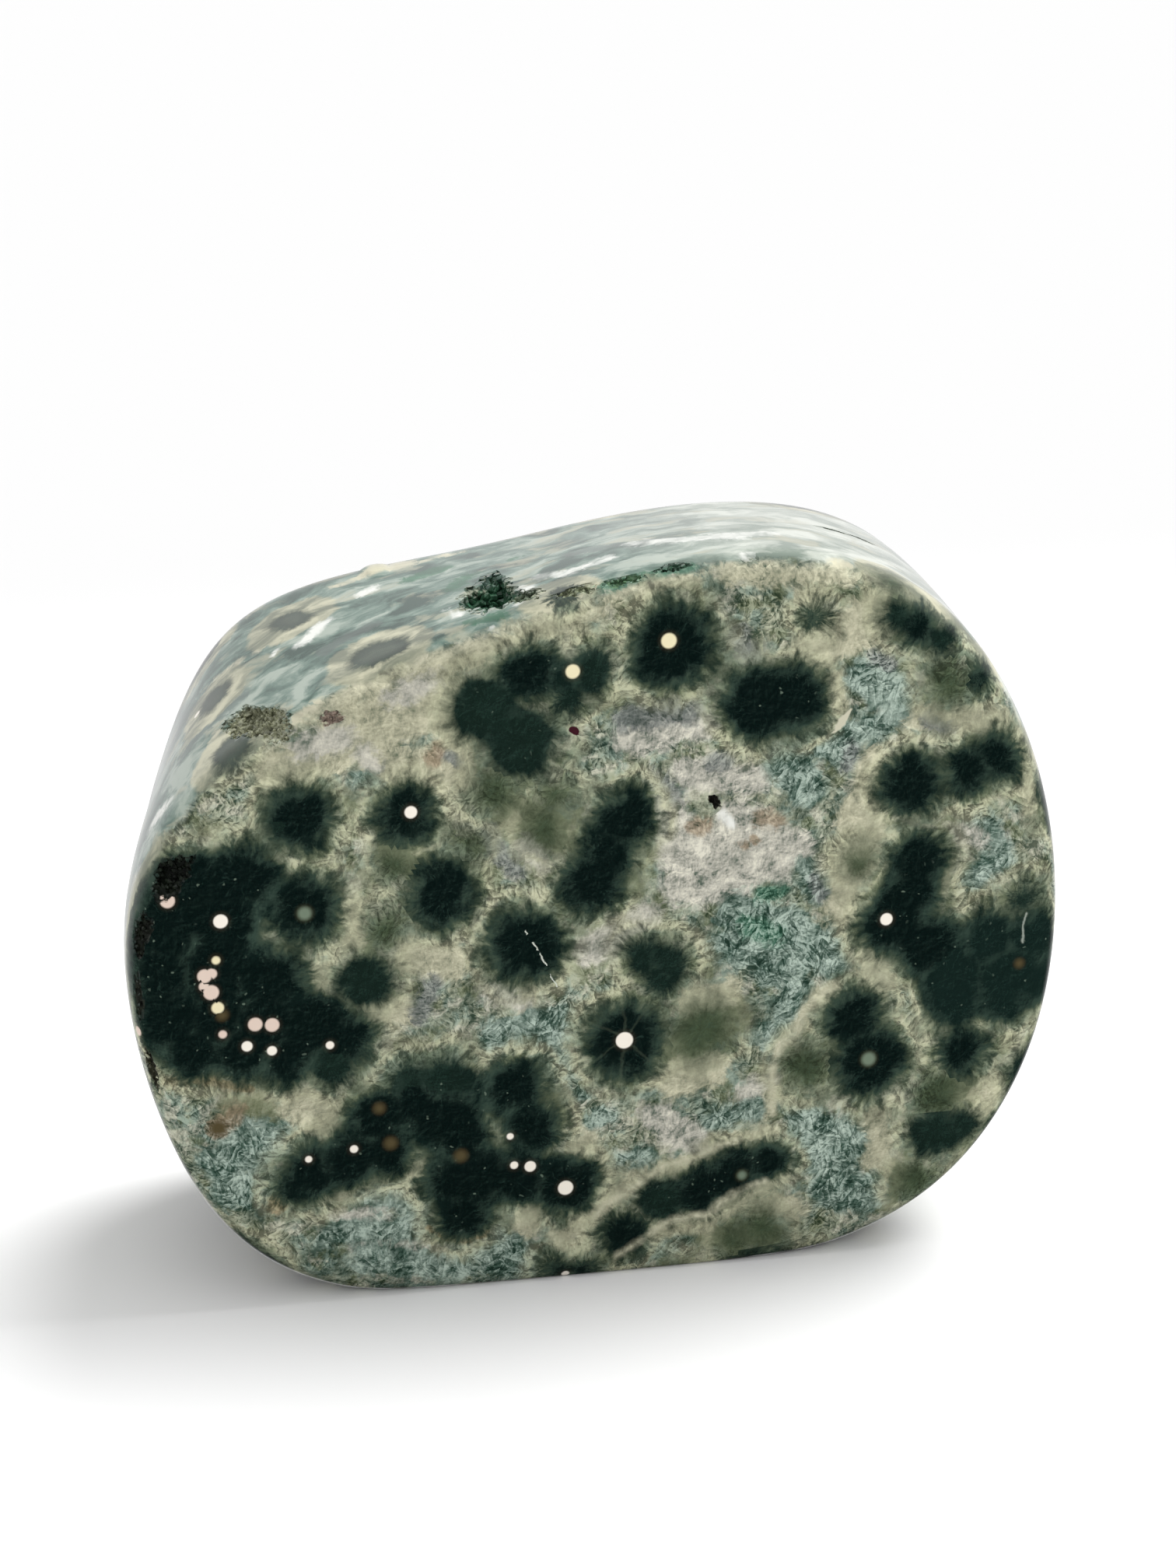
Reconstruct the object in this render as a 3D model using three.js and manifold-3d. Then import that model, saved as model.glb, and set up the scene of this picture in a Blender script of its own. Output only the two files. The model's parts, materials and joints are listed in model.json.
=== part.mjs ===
// Ocean jasper freeform: one stone, ground to a thick slab with two nearly flat faces, rounded edges
// and a flat foot, then polished all over. Where the jasper had natural hollows the polish left them
// open: a crystal-lined vug on top, a shallow crystal pocket on the left shoulder, a seam of small
// pits along the top and a few chips on the left edge.
// Millimetres, +Z up, +X to the right of the front face, which looks along -Y. The origin is the
// middle of the box on the surface that the stone stands on. The outlines and the hollows are given
// in the slab's own drawing, whose x = 0 lies OFF_CENTRE to the left of that middle.
import * as THREE from "three";
import { mergeVertices } from "three/addons/utils/BufferGeometryUtils.js";
import Module from "manifold-3d";

// Slab
const THICKNESS = 40;
const FACE_CROWN = 0.6;
const BAND_BULGE = 0.7;
const FRONT_EDGE_RADIUS = 4.5;
const BACK_EDGE_RADIUS = 6;
const EDGE_POWER = 2.2;
const FACE_CENTRE = [0, 38];
const FOOT_EASE = 0.5;
const OFF_CENTRE = 0.8;

// Control points [x, z] of the closed cubic splines that the slab's front and back edges follow,
// from the foot round by the left side. A spline runs a little inside its control points.
const FRONT_OUTLINE = [
  [-8, -1.5], [-26, -1.5], [-39, 5.5], [-46, 20], [-49, 36], [-47.5, 48.5],
  [-38.5, 59.5], [-25, 67], [-8, 72.5], [8, 77.5], [24.5, 77.5], [38, 70.5],
  [47, 55.5], [50.5, 39], [49, 21.5], [40.5, 6.5], [26, -1], [9, -2],
];
const BACK_OUTLINE = [
  [-8, -1.5], [-24, -1], [-36, 6], [-43, 19], [-46, 34], [-41.5, 50],
  [-35.5, 65], [-22, 69.5], [-7, 71], [9, 74.5], [26, 75.5], [40, 71],
  [47.5, 57], [49, 39], [46.5, 23], [39, 8], [25, -1], [9, -1.5],
];

// Mesh density
const STEPS_AROUND = 96;
const BAND_STEPS = 7;
const EDGE_STEPS = 4;
const FACE_RINGS = [0.34, 0.67];
const LARGE_HOLLOW = 8;
const LARGE_DETAIL = 2;
const SMALL_DETAIL = 1;
const KNOB_DETAIL = 2;
const TANGENT_STEP = 1e-3;
const WELD = 1e-4;

// Hollows. at is the middle of the mouth, out points away from the stone and along is the direction
// of the long axis. size is width, length and depth.
const HOLLOWS = [
  { name: "vug", at: [-10, -6.6, 72.4], out: [-0.27, 0, 0.96], along: [0.2, 1, 0], size: [6.4, 12, 3.4],
    crystals: 18, crystal: 1.9 },
  { name: "vug lobe", at: [-7.2, -12.2, 73.2], out: [-0.27, 0, 0.96], along: [0.6, -0.8, 0.1],
    size: [3.6, 6.4, 1.3], crystals: 5, crystal: 1.3 },
  { name: "shoulder pocket", at: [-34.6, -13.6, 61.9], out: [-0.56, -0.12, 0.82],
    along: [0.4, -0.9, 0.1], size: [5, 10.5, 1.9], crystals: 16, crystal: 1.7 },
  { name: "top seam 1", at: [-2.6, -16.2, 74.3], out: [-0.28, -0.14, 0.95], along: [1, -0.15, 0.25],
    size: [1.9, 4.6, 0.9], crystals: 4, crystal: 0.9 },
  { name: "top seam 2", at: [2.2, -17, 75.4], out: [-0.23, -0.3, 0.93], along: [1, -0.15, 0.2],
    size: [1.5, 4.2, 0.8], crystals: 3, crystal: 0.8 },
  { name: "top seam 3", at: [7.4, -17.1, 76.5], out: [-0.17, -0.33, 0.93], along: [1, -0.1, 0.15],
    size: [1.4, 4, 0.8], crystals: 2, crystal: 0.8 },
  { name: "edge notch", at: [-27.4, -18.9, 63.5], out: [-0.24, -0.8, 0.5], along: [0.9, -0.3, 0.3],
    size: [1.5, 2.8, 0.8], crystals: 0, crystal: 0 },
  { name: "face pinhole", at: [11.4, -20, 52.3], out: [0, -1, 0], along: [0.5, 0, -0.8],
    size: [1.1, 1.7, 1], crystals: 0, crystal: 0 },
  { name: "left chip 1", at: [-43.6, -18.8, 48], out: [-0.5, -0.8, 0.3], along: [0.7, -0.2, 0.7],
    size: [3.4, 6, 1.1], crystals: 5, crystal: 1 },
  { name: "left chip 2", at: [-46.9, -18.1, 42], out: [-0.7, -0.7, 0.1], along: [-0.3, 0, -1],
    size: [2.6, 5, 0.9], crystals: 4, crystal: 0.9 },
  { name: "left chip 3", at: [-47.7, -17.9, 34.5], out: [-0.75, -0.65, 0], along: [0, 0, -1],
    size: [1.8, 6, 0.7], crystals: 0, crystal: 0 },
  { name: "left chip 4", at: [-46.5, -17.6, 27], out: [-0.8, -0.6, -0.1], along: [0.2, 0, -1],
    size: [1.6, 5, 0.6], crystals: 0, crystal: 0 },
  { name: "right seam 1", at: [28.8, -0.7, 75.2], out: [0.3, 0, 0.95], along: [1, -0.1, -0.3],
    size: [0.9, 3.6, 0.7], crystals: 0, crystal: 0 },
  { name: "right seam 2", at: [32.2, -0.5, 74], out: [0.38, 0, 0.92], along: [1, -0.1, -0.4],
    size: [0.9, 3.2, 0.7], crystals: 0, crystal: 0 },
  { name: "back pocket", at: [21, 20, 50], out: [0, 1, 0], along: [0.8, 0, 0.6], size: [4.6, 10, 1.8],
    crystals: 11, crystal: 1.7 },
];

// A hollow's wall, in shares of its size: the waves over it, and how deep its crystals begin.
const WAVE_PITCHES = [2.2, 3.7, 5.9];
const WAVE_HEIGHT = 0.1;
const CRYSTAL_LEVEL = 0.25;

// A crystal, in shares of its width but for how deep its root sits in the wall.
const CRYSTAL_WIDTHS = [0.7, 1.3];
const CRYSTAL_LENGTHS = [0.9, 1.5];
const CRYSTAL_SHOULDER = 0.55;
const CRYSTAL_WAIST = 0.9;
const CRYSTAL_TILT = 0.9;
const CRYSTAL_SINK = 0.35;

// A low knob that the polish left proud on the back of the top.
const KNOB = { at: [-18.4, 12.6, 69.4], size: [3.2, 5, 1.2], along: [0, 1, 0], out: [-0.18, 0, 0.98] };

const STONE_GREEN = 0x5c6e60;
const POLISH_ROUGHNESS = 0.12;

const UP = new THREE.Vector3(0, 1, 0);
const HALF = THICKNESS / 2;
const FACE_EDGE = HALF - FACE_CROWN;

const manifold = await Module();
manifold.setup();

// A repeatable source of numbers from 0 to 1.
function makeRandom(seed) {
  let state = seed >>> 0;
  return () => {
    state = (state + 0x6d2b79f5) >>> 0;
    let mixed = Math.imul(state ^ (state >>> 15), 1 | state);
    mixed = (mixed + Math.imul(mixed ^ (mixed >>> 7), 61 | mixed)) ^ mixed;
    return ((mixed ^ (mixed >>> 14)) >>> 0) / 2 ** 32;
  };
}

// The point at t, from 0 to 1, on the closed uniform cubic B-spline of the control points.
function splinePoint(controls, t) {
  const count = controls.length;
  const place = (((t % 1) + 1) % 1) * count;
  const first = Math.floor(place);
  const u = place - first;
  const weights = [
    (1 - u) ** 3,
    3 * u ** 3 - 6 * u ** 2 + 4,
    -3 * u ** 3 + 3 * u ** 2 + 3 * u + 1,
    u ** 3,
  ];
  const point = new THREE.Vector2();
  weights.forEach((weight, k) => {
    const [x, z] = controls[(first + k - 1 + count) % count];
    point.x += (weight / 6) * x;
    point.y += (weight / 6) * z;
  });
  return point;
}

// The slab's outline at depth y, from the front outline at the front to the back one at the back.
function outlinePoint(t, y) {
  const share = THREE.MathUtils.smoothstep(y, -HALF, HALF);
  return splinePoint(FRONT_OUTLINE, t).lerp(splinePoint(BACK_OUTLINE, t), share);
}

// The height of a point once the foot is ground: nothing is left below 0, and the foot's own edge is
// eased into the sides.
function ground(z) {
  if (z >= FOOT_EASE) return z;
  if (z <= -FOOT_EASE) return 0;
  return (z + FOOT_EASE) ** 2 / (4 * FOOT_EASE);
}

// A point of the rounded side: the outline at depth y, moved inwards across it by inset.
function sidePoint(t, y, inset) {
  const point = outlinePoint(t, y);
  const ahead = outlinePoint(t + TANGENT_STEP, y);
  const tangent = ahead.sub(outlinePoint(t - TANGENT_STEP, y)).normalize();
  const bulge = BAND_BULGE * (1 - (y / HALF) ** 2);
  point.x += tangent.y * (inset - bulge);
  point.y -= tangent.x * (inset - bulge);
  return new THREE.Vector3(point.x, y, ground(point.y));
}

// Stations [y, inset] over a rounded edge, from the face (angle 0) to the side (angle 90 degrees).
function edgeStations(radius, side) {
  const stations = [];
  for (let k = 0; k <= EDGE_STEPS; k++) {
    const angle = (k / EDGE_STEPS) * (Math.PI / 2);
    const across = Math.sin(angle) ** (2 / EDGE_POWER);
    const down = Math.cos(angle) ** (2 / EDGE_POWER);
    stations.push([side * (FACE_EDGE - radius * (1 - down)), radius * (1 - across)]);
  }
  return stations;
}

// A ring of points on a face, at a share of the way from its centre to its edge.
function faceRing(edgeRing, share, side) {
  const y = side * (FACE_EDGE + FACE_CROWN * (1 - share ** 2) ** 2);
  return edgeRing.map(
    (p) =>
      new THREE.Vector3(
        THREE.MathUtils.lerp(FACE_CENTRE[0], p.x, share),
        y,
        THREE.MathUtils.lerp(FACE_CENTRE[1], p.z, share),
      ),
  );
}

// The slab without its hollows: rings of points from the front centre to the back centre.
function makeSlab() {
  const front = edgeStations(FRONT_EDGE_RADIUS, -1);
  const back = edgeStations(BACK_EDGE_RADIUS, 1).reverse();
  const bandStart = front[EDGE_STEPS][0];
  const bandEnd = back[0][0];
  const band = [];
  for (let k = 1; k < BAND_STEPS; k++) {
    band.push([THREE.MathUtils.lerp(bandStart, bandEnd, k / BAND_STEPS), 0]);
  }
  const sideRings = [...front, ...band, ...back].map(([y, inset]) =>
    Array.from({ length: STEPS_AROUND }, (_, k) => sidePoint(k / STEPS_AROUND, y, inset)),
  );
  const frontEdge = sideRings[0];
  const backEdge = sideRings[sideRings.length - 1];
  const rings = [
    ...FACE_RINGS.map((share) => faceRing(frontEdge, share, -1)),
    ...sideRings,
    ...FACE_RINGS.toReversed().map((share) => faceRing(backEdge, share, 1)),
  ];
  const points = rings.flat();
  const frontCentre = points.length;
  const backCentre = frontCentre + 1;
  points.push(new THREE.Vector3(FACE_CENTRE[0], -HALF, FACE_CENTRE[1]));
  points.push(new THREE.Vector3(FACE_CENTRE[0], HALF, FACE_CENTRE[1]));
  const triangles = [];
  const lastRing = (rings.length - 1) * STEPS_AROUND;
  for (let k = 0; k < STEPS_AROUND; k++) {
    const next = (k + 1) % STEPS_AROUND;
    triangles.push(frontCentre, next, k);
    triangles.push(backCentre, lastRing + k, lastRing + next);
    for (let r = 0; r < rings.length - 1; r++) {
      const near = r * STEPS_AROUND;
      const far = near + STEPS_AROUND;
      triangles.push(near + k, far + next, far + k);
      triangles.push(near + k, near + next, far + next);
    }
  }
  return new THREE.BufferGeometry().setFromPoints(points).setIndex(triangles);
}

// The turn that carries X to across, Y to along and Z to out.
function frameAt({ at, out, along }) {
  const z = new THREE.Vector3(...out).normalize();
  const x = new THREE.Vector3(...along).cross(z).normalize();
  const y = z.clone().cross(x);
  return new THREE.Matrix4().makeBasis(x, y, z).setPosition(...at);
}

// A ball with three waves of random direction over it, so that no two look alike.
function makeLump(random, detail) {
  const ball = new THREE.IcosahedronGeometry(1, detail);
  const waves = WAVE_PITCHES.map((pitch) => ({
    pitch,
    direction: new THREE.Vector3(random() - 0.5, random() - 0.5, random() - 0.5).normalize(),
    phase: random() * Math.PI * 2,
  }));
  const places = ball.getAttribute("position");
  const point = new THREE.Vector3();
  for (let k = 0; k < places.count; k++) {
    point.fromBufferAttribute(places, k);
    const rise = waves.reduce(
      (sum, wave) => sum + Math.sin(point.dot(wave.direction) * wave.pitch + wave.phase),
      0,
    );
    point.multiplyScalar(1 + WAVE_HEIGHT * rise);
    places.setXYZ(k, point.x, point.y, point.z);
  }
  return ball;
}

// A quartz point: a six-sided prism that ends in a six-sided tip, base at the origin, tip along Y.
function makeCrystal(width, length) {
  const radius = width / 2;
  const shoulder = length * CRYSTAL_SHOULDER;
  const profile = [
    new THREE.Vector2(0, 0),
    new THREE.Vector2(radius * CRYSTAL_WAIST, 0),
    new THREE.Vector2(radius, shoulder),
    new THREE.Vector2(0, length),
  ];
  return new THREE.LatheGeometry(profile, 6);
}

// A closed geometry as a solid that can be joined and cut.
function toSolid(geometry) {
  const bare = geometry.clone();
  bare.deleteAttribute("normal");
  bare.deleteAttribute("uv");
  const merged = mergeVertices(bare, WELD);
  const index = merged.index.array;
  const kept = [];
  for (let k = 0; k < index.length; k += 3) {
    const [a, b, c] = index.slice(k, k + 3);
    if (a !== b && b !== c && c !== a) kept.push(a, b, c);
  }
  return new manifold.Manifold(
    new manifold.Mesh({
      numProp: 3,
      vertProperties: merged.getAttribute("position").array,
      triVerts: new Uint32Array(kept),
    }),
  );
}

// A hollow's cutter and the crystals that stand on its floor.
function makeHollow(hollow, seed) {
  const random = makeRandom(seed);
  const [width, length, depth] = hollow.size;
  const lump = makeLump(random, length > LARGE_HOLLOW ? LARGE_DETAIL : SMALL_DETAIL);
  const place = frameAt(hollow);
  const stretch = new THREE.Matrix4().makeScale(width / 2, length / 2, depth);
  const cutter = lump.clone().applyMatrix4(stretch).applyMatrix4(place);
  const crystals = [];
  const walls = lump.getAttribute("position");
  while (crystals.length < hollow.crystals) {
    const wall = new THREE.Vector3().fromBufferAttribute(walls, Math.floor(random() * walls.count));
    if (wall.z > -CRYSTAL_LEVEL) continue;
    const root = wall.applyMatrix4(stretch);
    const tilt = new THREE.Vector3(random() - 0.5, random() - 0.5, 0).multiplyScalar(CRYSTAL_TILT);
    const aim = new THREE.Vector3(-root.x / width, -root.y / length, 1).add(tilt).normalize();
    const across = hollow.crystal * THREE.MathUtils.lerp(...CRYSTAL_WIDTHS, random());
    const crystal = makeCrystal(across, across * THREE.MathUtils.lerp(...CRYSTAL_LENGTHS, random()));
    crystal.translate(0, -CRYSTAL_SINK, 0);
    crystal.rotateY(random() * Math.PI);
    crystal.applyQuaternion(new THREE.Quaternion().setFromUnitVectors(UP, aim));
    crystal.translate(root.x, root.y, root.z);
    crystals.push(crystal.applyMatrix4(place));
  }
  return { cutter, crystals };
}

// A solid's surface as flat-shaded geometry.
function toGeometry(solid) {
  const { numProp, vertProperties, triVerts } = solid.getMesh();
  const points = [];
  for (let k = 0; k < vertProperties.length; k += numProp) {
    points.push(new THREE.Vector3(...vertProperties.subarray(k, k + 3)));
  }
  const geometry = new THREE.BufferGeometry().setFromPoints(points).setIndex([...triVerts]);
  geometry.computeVertexNormals();
  return geometry;
}

// The whole stone. A crystal that reaches past the polished surface was ground off flush with it, so
// the crystals are cut to the slab before they join it. Where crystals close over a gap, it fills in:
// decompose gives such a gap as a body of its own, and only the largest body is kept.
function makeStone() {
  const knob = new THREE.IcosahedronGeometry(0.5, KNOB_DETAIL);
  knob.scale(...KNOB.size);
  knob.applyMatrix4(frameAt(KNOB));
  const slab = toSolid(makeSlab()).add(toSolid(knob));
  const hollows = HOLLOWS.map((hollow, k) => makeHollow(hollow, k + 1));
  const cutters = hollows.map(({ cutter }) => toSolid(cutter));
  const crystals = hollows.flatMap((hollow) => hollow.crystals.map(toSolid));
  const crust = manifold.Manifold.union(crystals).intersect(slab);
  const grown = slab.subtract(manifold.Manifold.union(cutters)).add(crust);
  const [stone] = grown.decompose().sort((a, b) => b.volume() - a.volume());
  const jasper = new THREE.MeshStandardMaterial({
    color: STONE_GREEN,
    roughness: POLISH_ROUGHNESS,
    metalness: 0,
  });
  const mesh = new THREE.Mesh(toGeometry(stone), jasper);
  mesh.name = "stone";
  mesh.position.x = -OFF_CENTRE;
  return mesh;
}

const freeform = new THREE.Group();
freeform.add(makeStone());

export default freeform;
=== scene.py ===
# Ocean jasper freeform: one polished stone that stands on its flat foot.
# The model is in metres. The stone's own drawing is in millimetres.
import math

import bmesh
import bpy
import json
import numpy as np
from mathutils import Matrix, Vector, noise
from mathutils.bvhtree import BVHTree
from mathutils.geometry import delaunay_2d_cdt

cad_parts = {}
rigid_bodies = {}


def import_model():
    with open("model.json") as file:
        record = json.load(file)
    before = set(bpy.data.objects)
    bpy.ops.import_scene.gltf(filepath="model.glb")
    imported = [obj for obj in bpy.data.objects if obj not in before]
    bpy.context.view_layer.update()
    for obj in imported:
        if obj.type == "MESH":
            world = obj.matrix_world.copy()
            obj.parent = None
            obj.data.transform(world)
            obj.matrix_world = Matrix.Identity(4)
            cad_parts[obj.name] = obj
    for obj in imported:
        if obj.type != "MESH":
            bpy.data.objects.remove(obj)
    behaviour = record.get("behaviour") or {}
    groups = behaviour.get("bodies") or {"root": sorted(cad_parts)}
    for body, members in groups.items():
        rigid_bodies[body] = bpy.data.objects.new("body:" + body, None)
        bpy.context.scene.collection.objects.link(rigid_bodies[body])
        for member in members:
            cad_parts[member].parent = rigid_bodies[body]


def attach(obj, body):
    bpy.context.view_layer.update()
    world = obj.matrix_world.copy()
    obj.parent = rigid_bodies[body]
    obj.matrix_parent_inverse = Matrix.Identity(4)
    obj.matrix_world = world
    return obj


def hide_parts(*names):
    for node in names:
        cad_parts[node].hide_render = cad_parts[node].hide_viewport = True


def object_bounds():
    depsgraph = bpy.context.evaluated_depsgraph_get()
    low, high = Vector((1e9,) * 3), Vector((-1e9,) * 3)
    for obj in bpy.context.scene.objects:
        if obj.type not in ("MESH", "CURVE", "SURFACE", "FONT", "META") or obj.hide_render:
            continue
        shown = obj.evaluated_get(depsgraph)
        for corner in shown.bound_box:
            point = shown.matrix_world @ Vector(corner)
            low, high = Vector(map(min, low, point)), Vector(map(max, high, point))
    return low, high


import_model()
cad_low, cad_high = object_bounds()
MM = 0.001

# Camera: a 75 mm lens, 350 mm from the stone, a little left of its front and 18 degrees above it.
CAMERA_AIM = Vector((0.0016, 0, 0.0485))
CAMERA_TURN = math.radians(-12)
CAMERA_RISE = math.radians(18)
CAMERA_DISTANCE = 0.35


def put_in_scene(name, data):
    made = bpy.data.objects.new(name, data)
    bpy.context.scene.collection.objects.link(made)
    return made


camera_data = bpy.data.cameras.new("camera")
camera_data.lens = 75
camera_data.clip_start = 0.01
camera = put_in_scene("camera", camera_data)
camera_back = Vector((
    math.sin(CAMERA_TURN) * math.cos(CAMERA_RISE),
    -math.cos(CAMERA_TURN) * math.cos(CAMERA_RISE),
    math.sin(CAMERA_RISE),
))
camera.location = CAMERA_AIM + camera_back * CAMERA_DISTANCE
camera.rotation_euler = camera_back.to_track_quat("Z", "Y").to_euler()
bpy.context.scene.camera = camera
bpy.context.scene.view_settings.view_transform = "Standard"

# Stage: a white sheet, greyer behind the stone, under a soft white dome with one broad lamp high on the
# right and a little behind. The polish mirrors a dark room in front of the stone and a bright one behind.
FLOOR_HALF = 6
SHEET_NEAR = 0.99
SHEET_FAR = 0.65
SHEET_FADE = 0.3
LAMP_FROM = Vector((0.5, 0.27, 0.82))
LAMP_STRENGTH = 3
LAMP_WIDTH = math.radians(42)
DOME_STRENGTH = 0.74
DARKEST_MIRRORED = 0.02
BRIGHTEST_MIRRORED = 0.8
floor_mesh = bpy.data.meshes.new("floor")
floor_corners = [(-1, -1), (1, -1), (1, 1), (-1, 1)]
floor_mesh.from_pydata([(x * FLOOR_HALF, y * FLOOR_HALF, 0) for x, y in floor_corners], [], [(0, 1, 2, 3)])
floor = put_in_scene("floor", floor_mesh)
floor.visible_glossy = False


def node_in(tree, kind, operation=None, **sockets):
    """A new node. Each named socket is joined to an output or set to a value; _ stands for a space."""
    node = tree.nodes.new(kind)
    if operation:
        node.operation = operation
    for name, value in sockets.items():
        socket = node.inputs[name.replace("_", " ")]
        if isinstance(value, bpy.types.NodeSocket):
            tree.links.new(value, socket)
        else:
            socket.default_value = value
    return node


sheet = bpy.data.materials.new("white sheet")
sheet.use_nodes = True
sheet_tree = sheet.node_tree
sheet_shader = sheet_tree.nodes["Principled BSDF"]
sheet_shader.inputs["Roughness"].default_value = 1
sheet_shader.inputs["Specular IOR Level"].default_value = 0
sheet_place = node_in(sheet_tree, "ShaderNodeTexCoord").outputs["Object"]
sheet_y = node_in(sheet_tree, "ShaderNodeSeparateXYZ", Vector=sheet_place).outputs["Y"]
sheet_fade = node_in(sheet_tree, "ShaderNodeMapRange", Value=sheet_y, From_Min=0, From_Max=SHEET_FADE)
sheet_fade.interpolation_type = "SMOOTHSTEP"
sheet_white = node_in(sheet_tree, "ShaderNodeMix", Factor=sheet_fade.outputs["Result"])
sheet_white.data_type = "RGBA"
sheet_white.inputs[6].default_value = (SHEET_NEAR, SHEET_NEAR, SHEET_NEAR, 1)
sheet_white.inputs[7].default_value = (SHEET_FAR, SHEET_FAR, SHEET_FAR, 1)
sheet_tree.links.new(sheet_white.outputs[2], sheet_shader.inputs["Base Color"])
floor_mesh.materials.append(sheet)

lamp_data = bpy.data.lights.new("broad lamp", "SUN")
lamp_data.energy = LAMP_STRENGTH
lamp_data.angle = LAMP_WIDTH
lamp = put_in_scene("broad lamp", lamp_data)
lamp.rotation_euler = LAMP_FROM.to_track_quat("Z", "Y").to_euler()
lamp.visible_glossy = False

world = bpy.data.worlds.new("dome")
bpy.context.scene.world = world
world.use_nodes = True
dome = world.node_tree
dome_light = dome.nodes["Background"]
direction = node_in(dome, "ShaderNodeTexCoord").outputs["Generated"]
behind = node_in(dome, "ShaderNodeVectorMath", "DOT_PRODUCT", Vector=direction)
behind.inputs[1].default_value = (0, 0.8, 0.6)
mirrored = node_in(dome, "ShaderNodeMapRange", Value=behind.outputs["Value"], From_Min=-0.1, From_Max=0.5)
mirrored.interpolation_type = "SMOOTHSTEP"
mirrored.inputs["To Min"].default_value = DARKEST_MIRRORED
mirrored.inputs["To Max"].default_value = BRIGHTEST_MIRRORED
is_mirrored = node_in(dome, "ShaderNodeLightPath").outputs["Is Glossy Ray"]
seen = node_in(dome, "ShaderNodeMix", Factor=is_mirrored, A=DOME_STRENGTH, B=mirrored.outputs["Result"])
dome.links.new(seen.outputs["Result"], dome_light.inputs["Strength"])
dome_light.inputs["Color"].default_value = (1, 1, 1, 1)

# The stone: a thick slab of jasper, ground to two nearly flat faces and a flat foot. Its edges were
# rounded on the wheel, and it was polished all over.
THICKNESS = 40
FACE_CROWN = 0.6
BAND_BULGE = 0.7
FRONT_EDGE_RADIUS = 4.5
BACK_EDGE_RADIUS = 6
EDGE_POWER = 2.2
FACE_CENTRE = (0, 38)
FOOT_EASE = 0.5
OFF_CENTRE = 0.8
# Control points x, z of the closed splines that the front and the back edge follow.
FRONT_OUTLINE = [
    (-8, -1.5), (-26, -1.5), (-39, 5.5), (-46, 20), (-49, 36), (-47.5, 48.5),
    (-38.5, 59.5), (-25, 67), (-8, 72.5), (8, 77.5), (24.5, 77.5), (38, 70.5),
    (47, 55.5), (50.5, 39), (49, 21.5), (40.5, 6.5), (26, -1), (9, -2),
]
BACK_OUTLINE = [
    (-8, -1.5), (-24, -1), (-36, 6), (-43, 19), (-46, 34), (-41.5, 50),
    (-35.5, 65), (-22, 69.5), (-7, 71), (9, 74.5), (26, 75.5), (40, 71),
    (47.5, 57), (49, 39), (46.5, 23), (39, 8), (25, -1), (9, -1.5),
]
AROUND = 440
EDGE_STEPS = 10
BAND_STEPS = 36
FRONT_PITCH = 0.62
BACK_PITCH = 0.95
ROW_STEP = 0.866
EDGE_GAP = 0.7
HALF = THICKNESS / 2
FACE_EDGE = HALF - FACE_CROWN


def spline(controls, places):
    """Points of the closed cubic spline, places from 0 to 1 round it."""
    controls = np.array(controls, float)
    place = (places % 1) * len(controls)
    first = np.floor(place).astype(int)
    u = (place - first)[:, None]
    weights = [(1 - u) ** 3, 3 * u**3 - 6 * u**2 + 4, -3 * u**3 + 3 * u**2 + 3 * u + 1, u**3]
    return sum(w / 6 * controls[(first + k - 1) % len(controls)] for k, w in enumerate(weights))


def outline(places, depth):
    share = depth / THICKNESS + 0.5
    share = share * share * (3 - 2 * share)
    return (1 - share) * spline(FRONT_OUTLINE, places) + share * spline(BACK_OUTLINE, places)


def side_ring(depth, inset):
    """One ring of the side: the outline at that depth, moved in by inset and ground at the foot."""
    places = np.arange(AROUND) / AROUND
    ring = outline(places, depth)
    run = outline(places + 1e-3, depth) - outline(places - 1e-3, depth)
    run /= np.linalg.norm(run, axis=1)[:, None]
    out = BAND_BULGE * (1 - (depth / HALF) ** 2) - inset
    x = ring[:, 0] - run[:, 1] * out
    z = ring[:, 1] + run[:, 0] * out
    eased = (np.clip(z, -FOOT_EASE, FOOT_EASE) + FOOT_EASE) ** 2 / (4 * FOOT_EASE)
    z = np.where(z < FOOT_EASE, eased, z)
    return np.stack([x, np.full(AROUND, depth), z], 1)


def edge_stations(radius, side):
    angles = np.linspace(0, math.pi / 2, EDGE_STEPS + 1)
    across = np.sin(angles) ** (2 / EDGE_POWER)
    down = np.cos(angles) ** (2 / EDGE_POWER)
    return list(zip(side * (FACE_EDGE - radius * (1 - down)), radius * (1 - across)))


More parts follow.
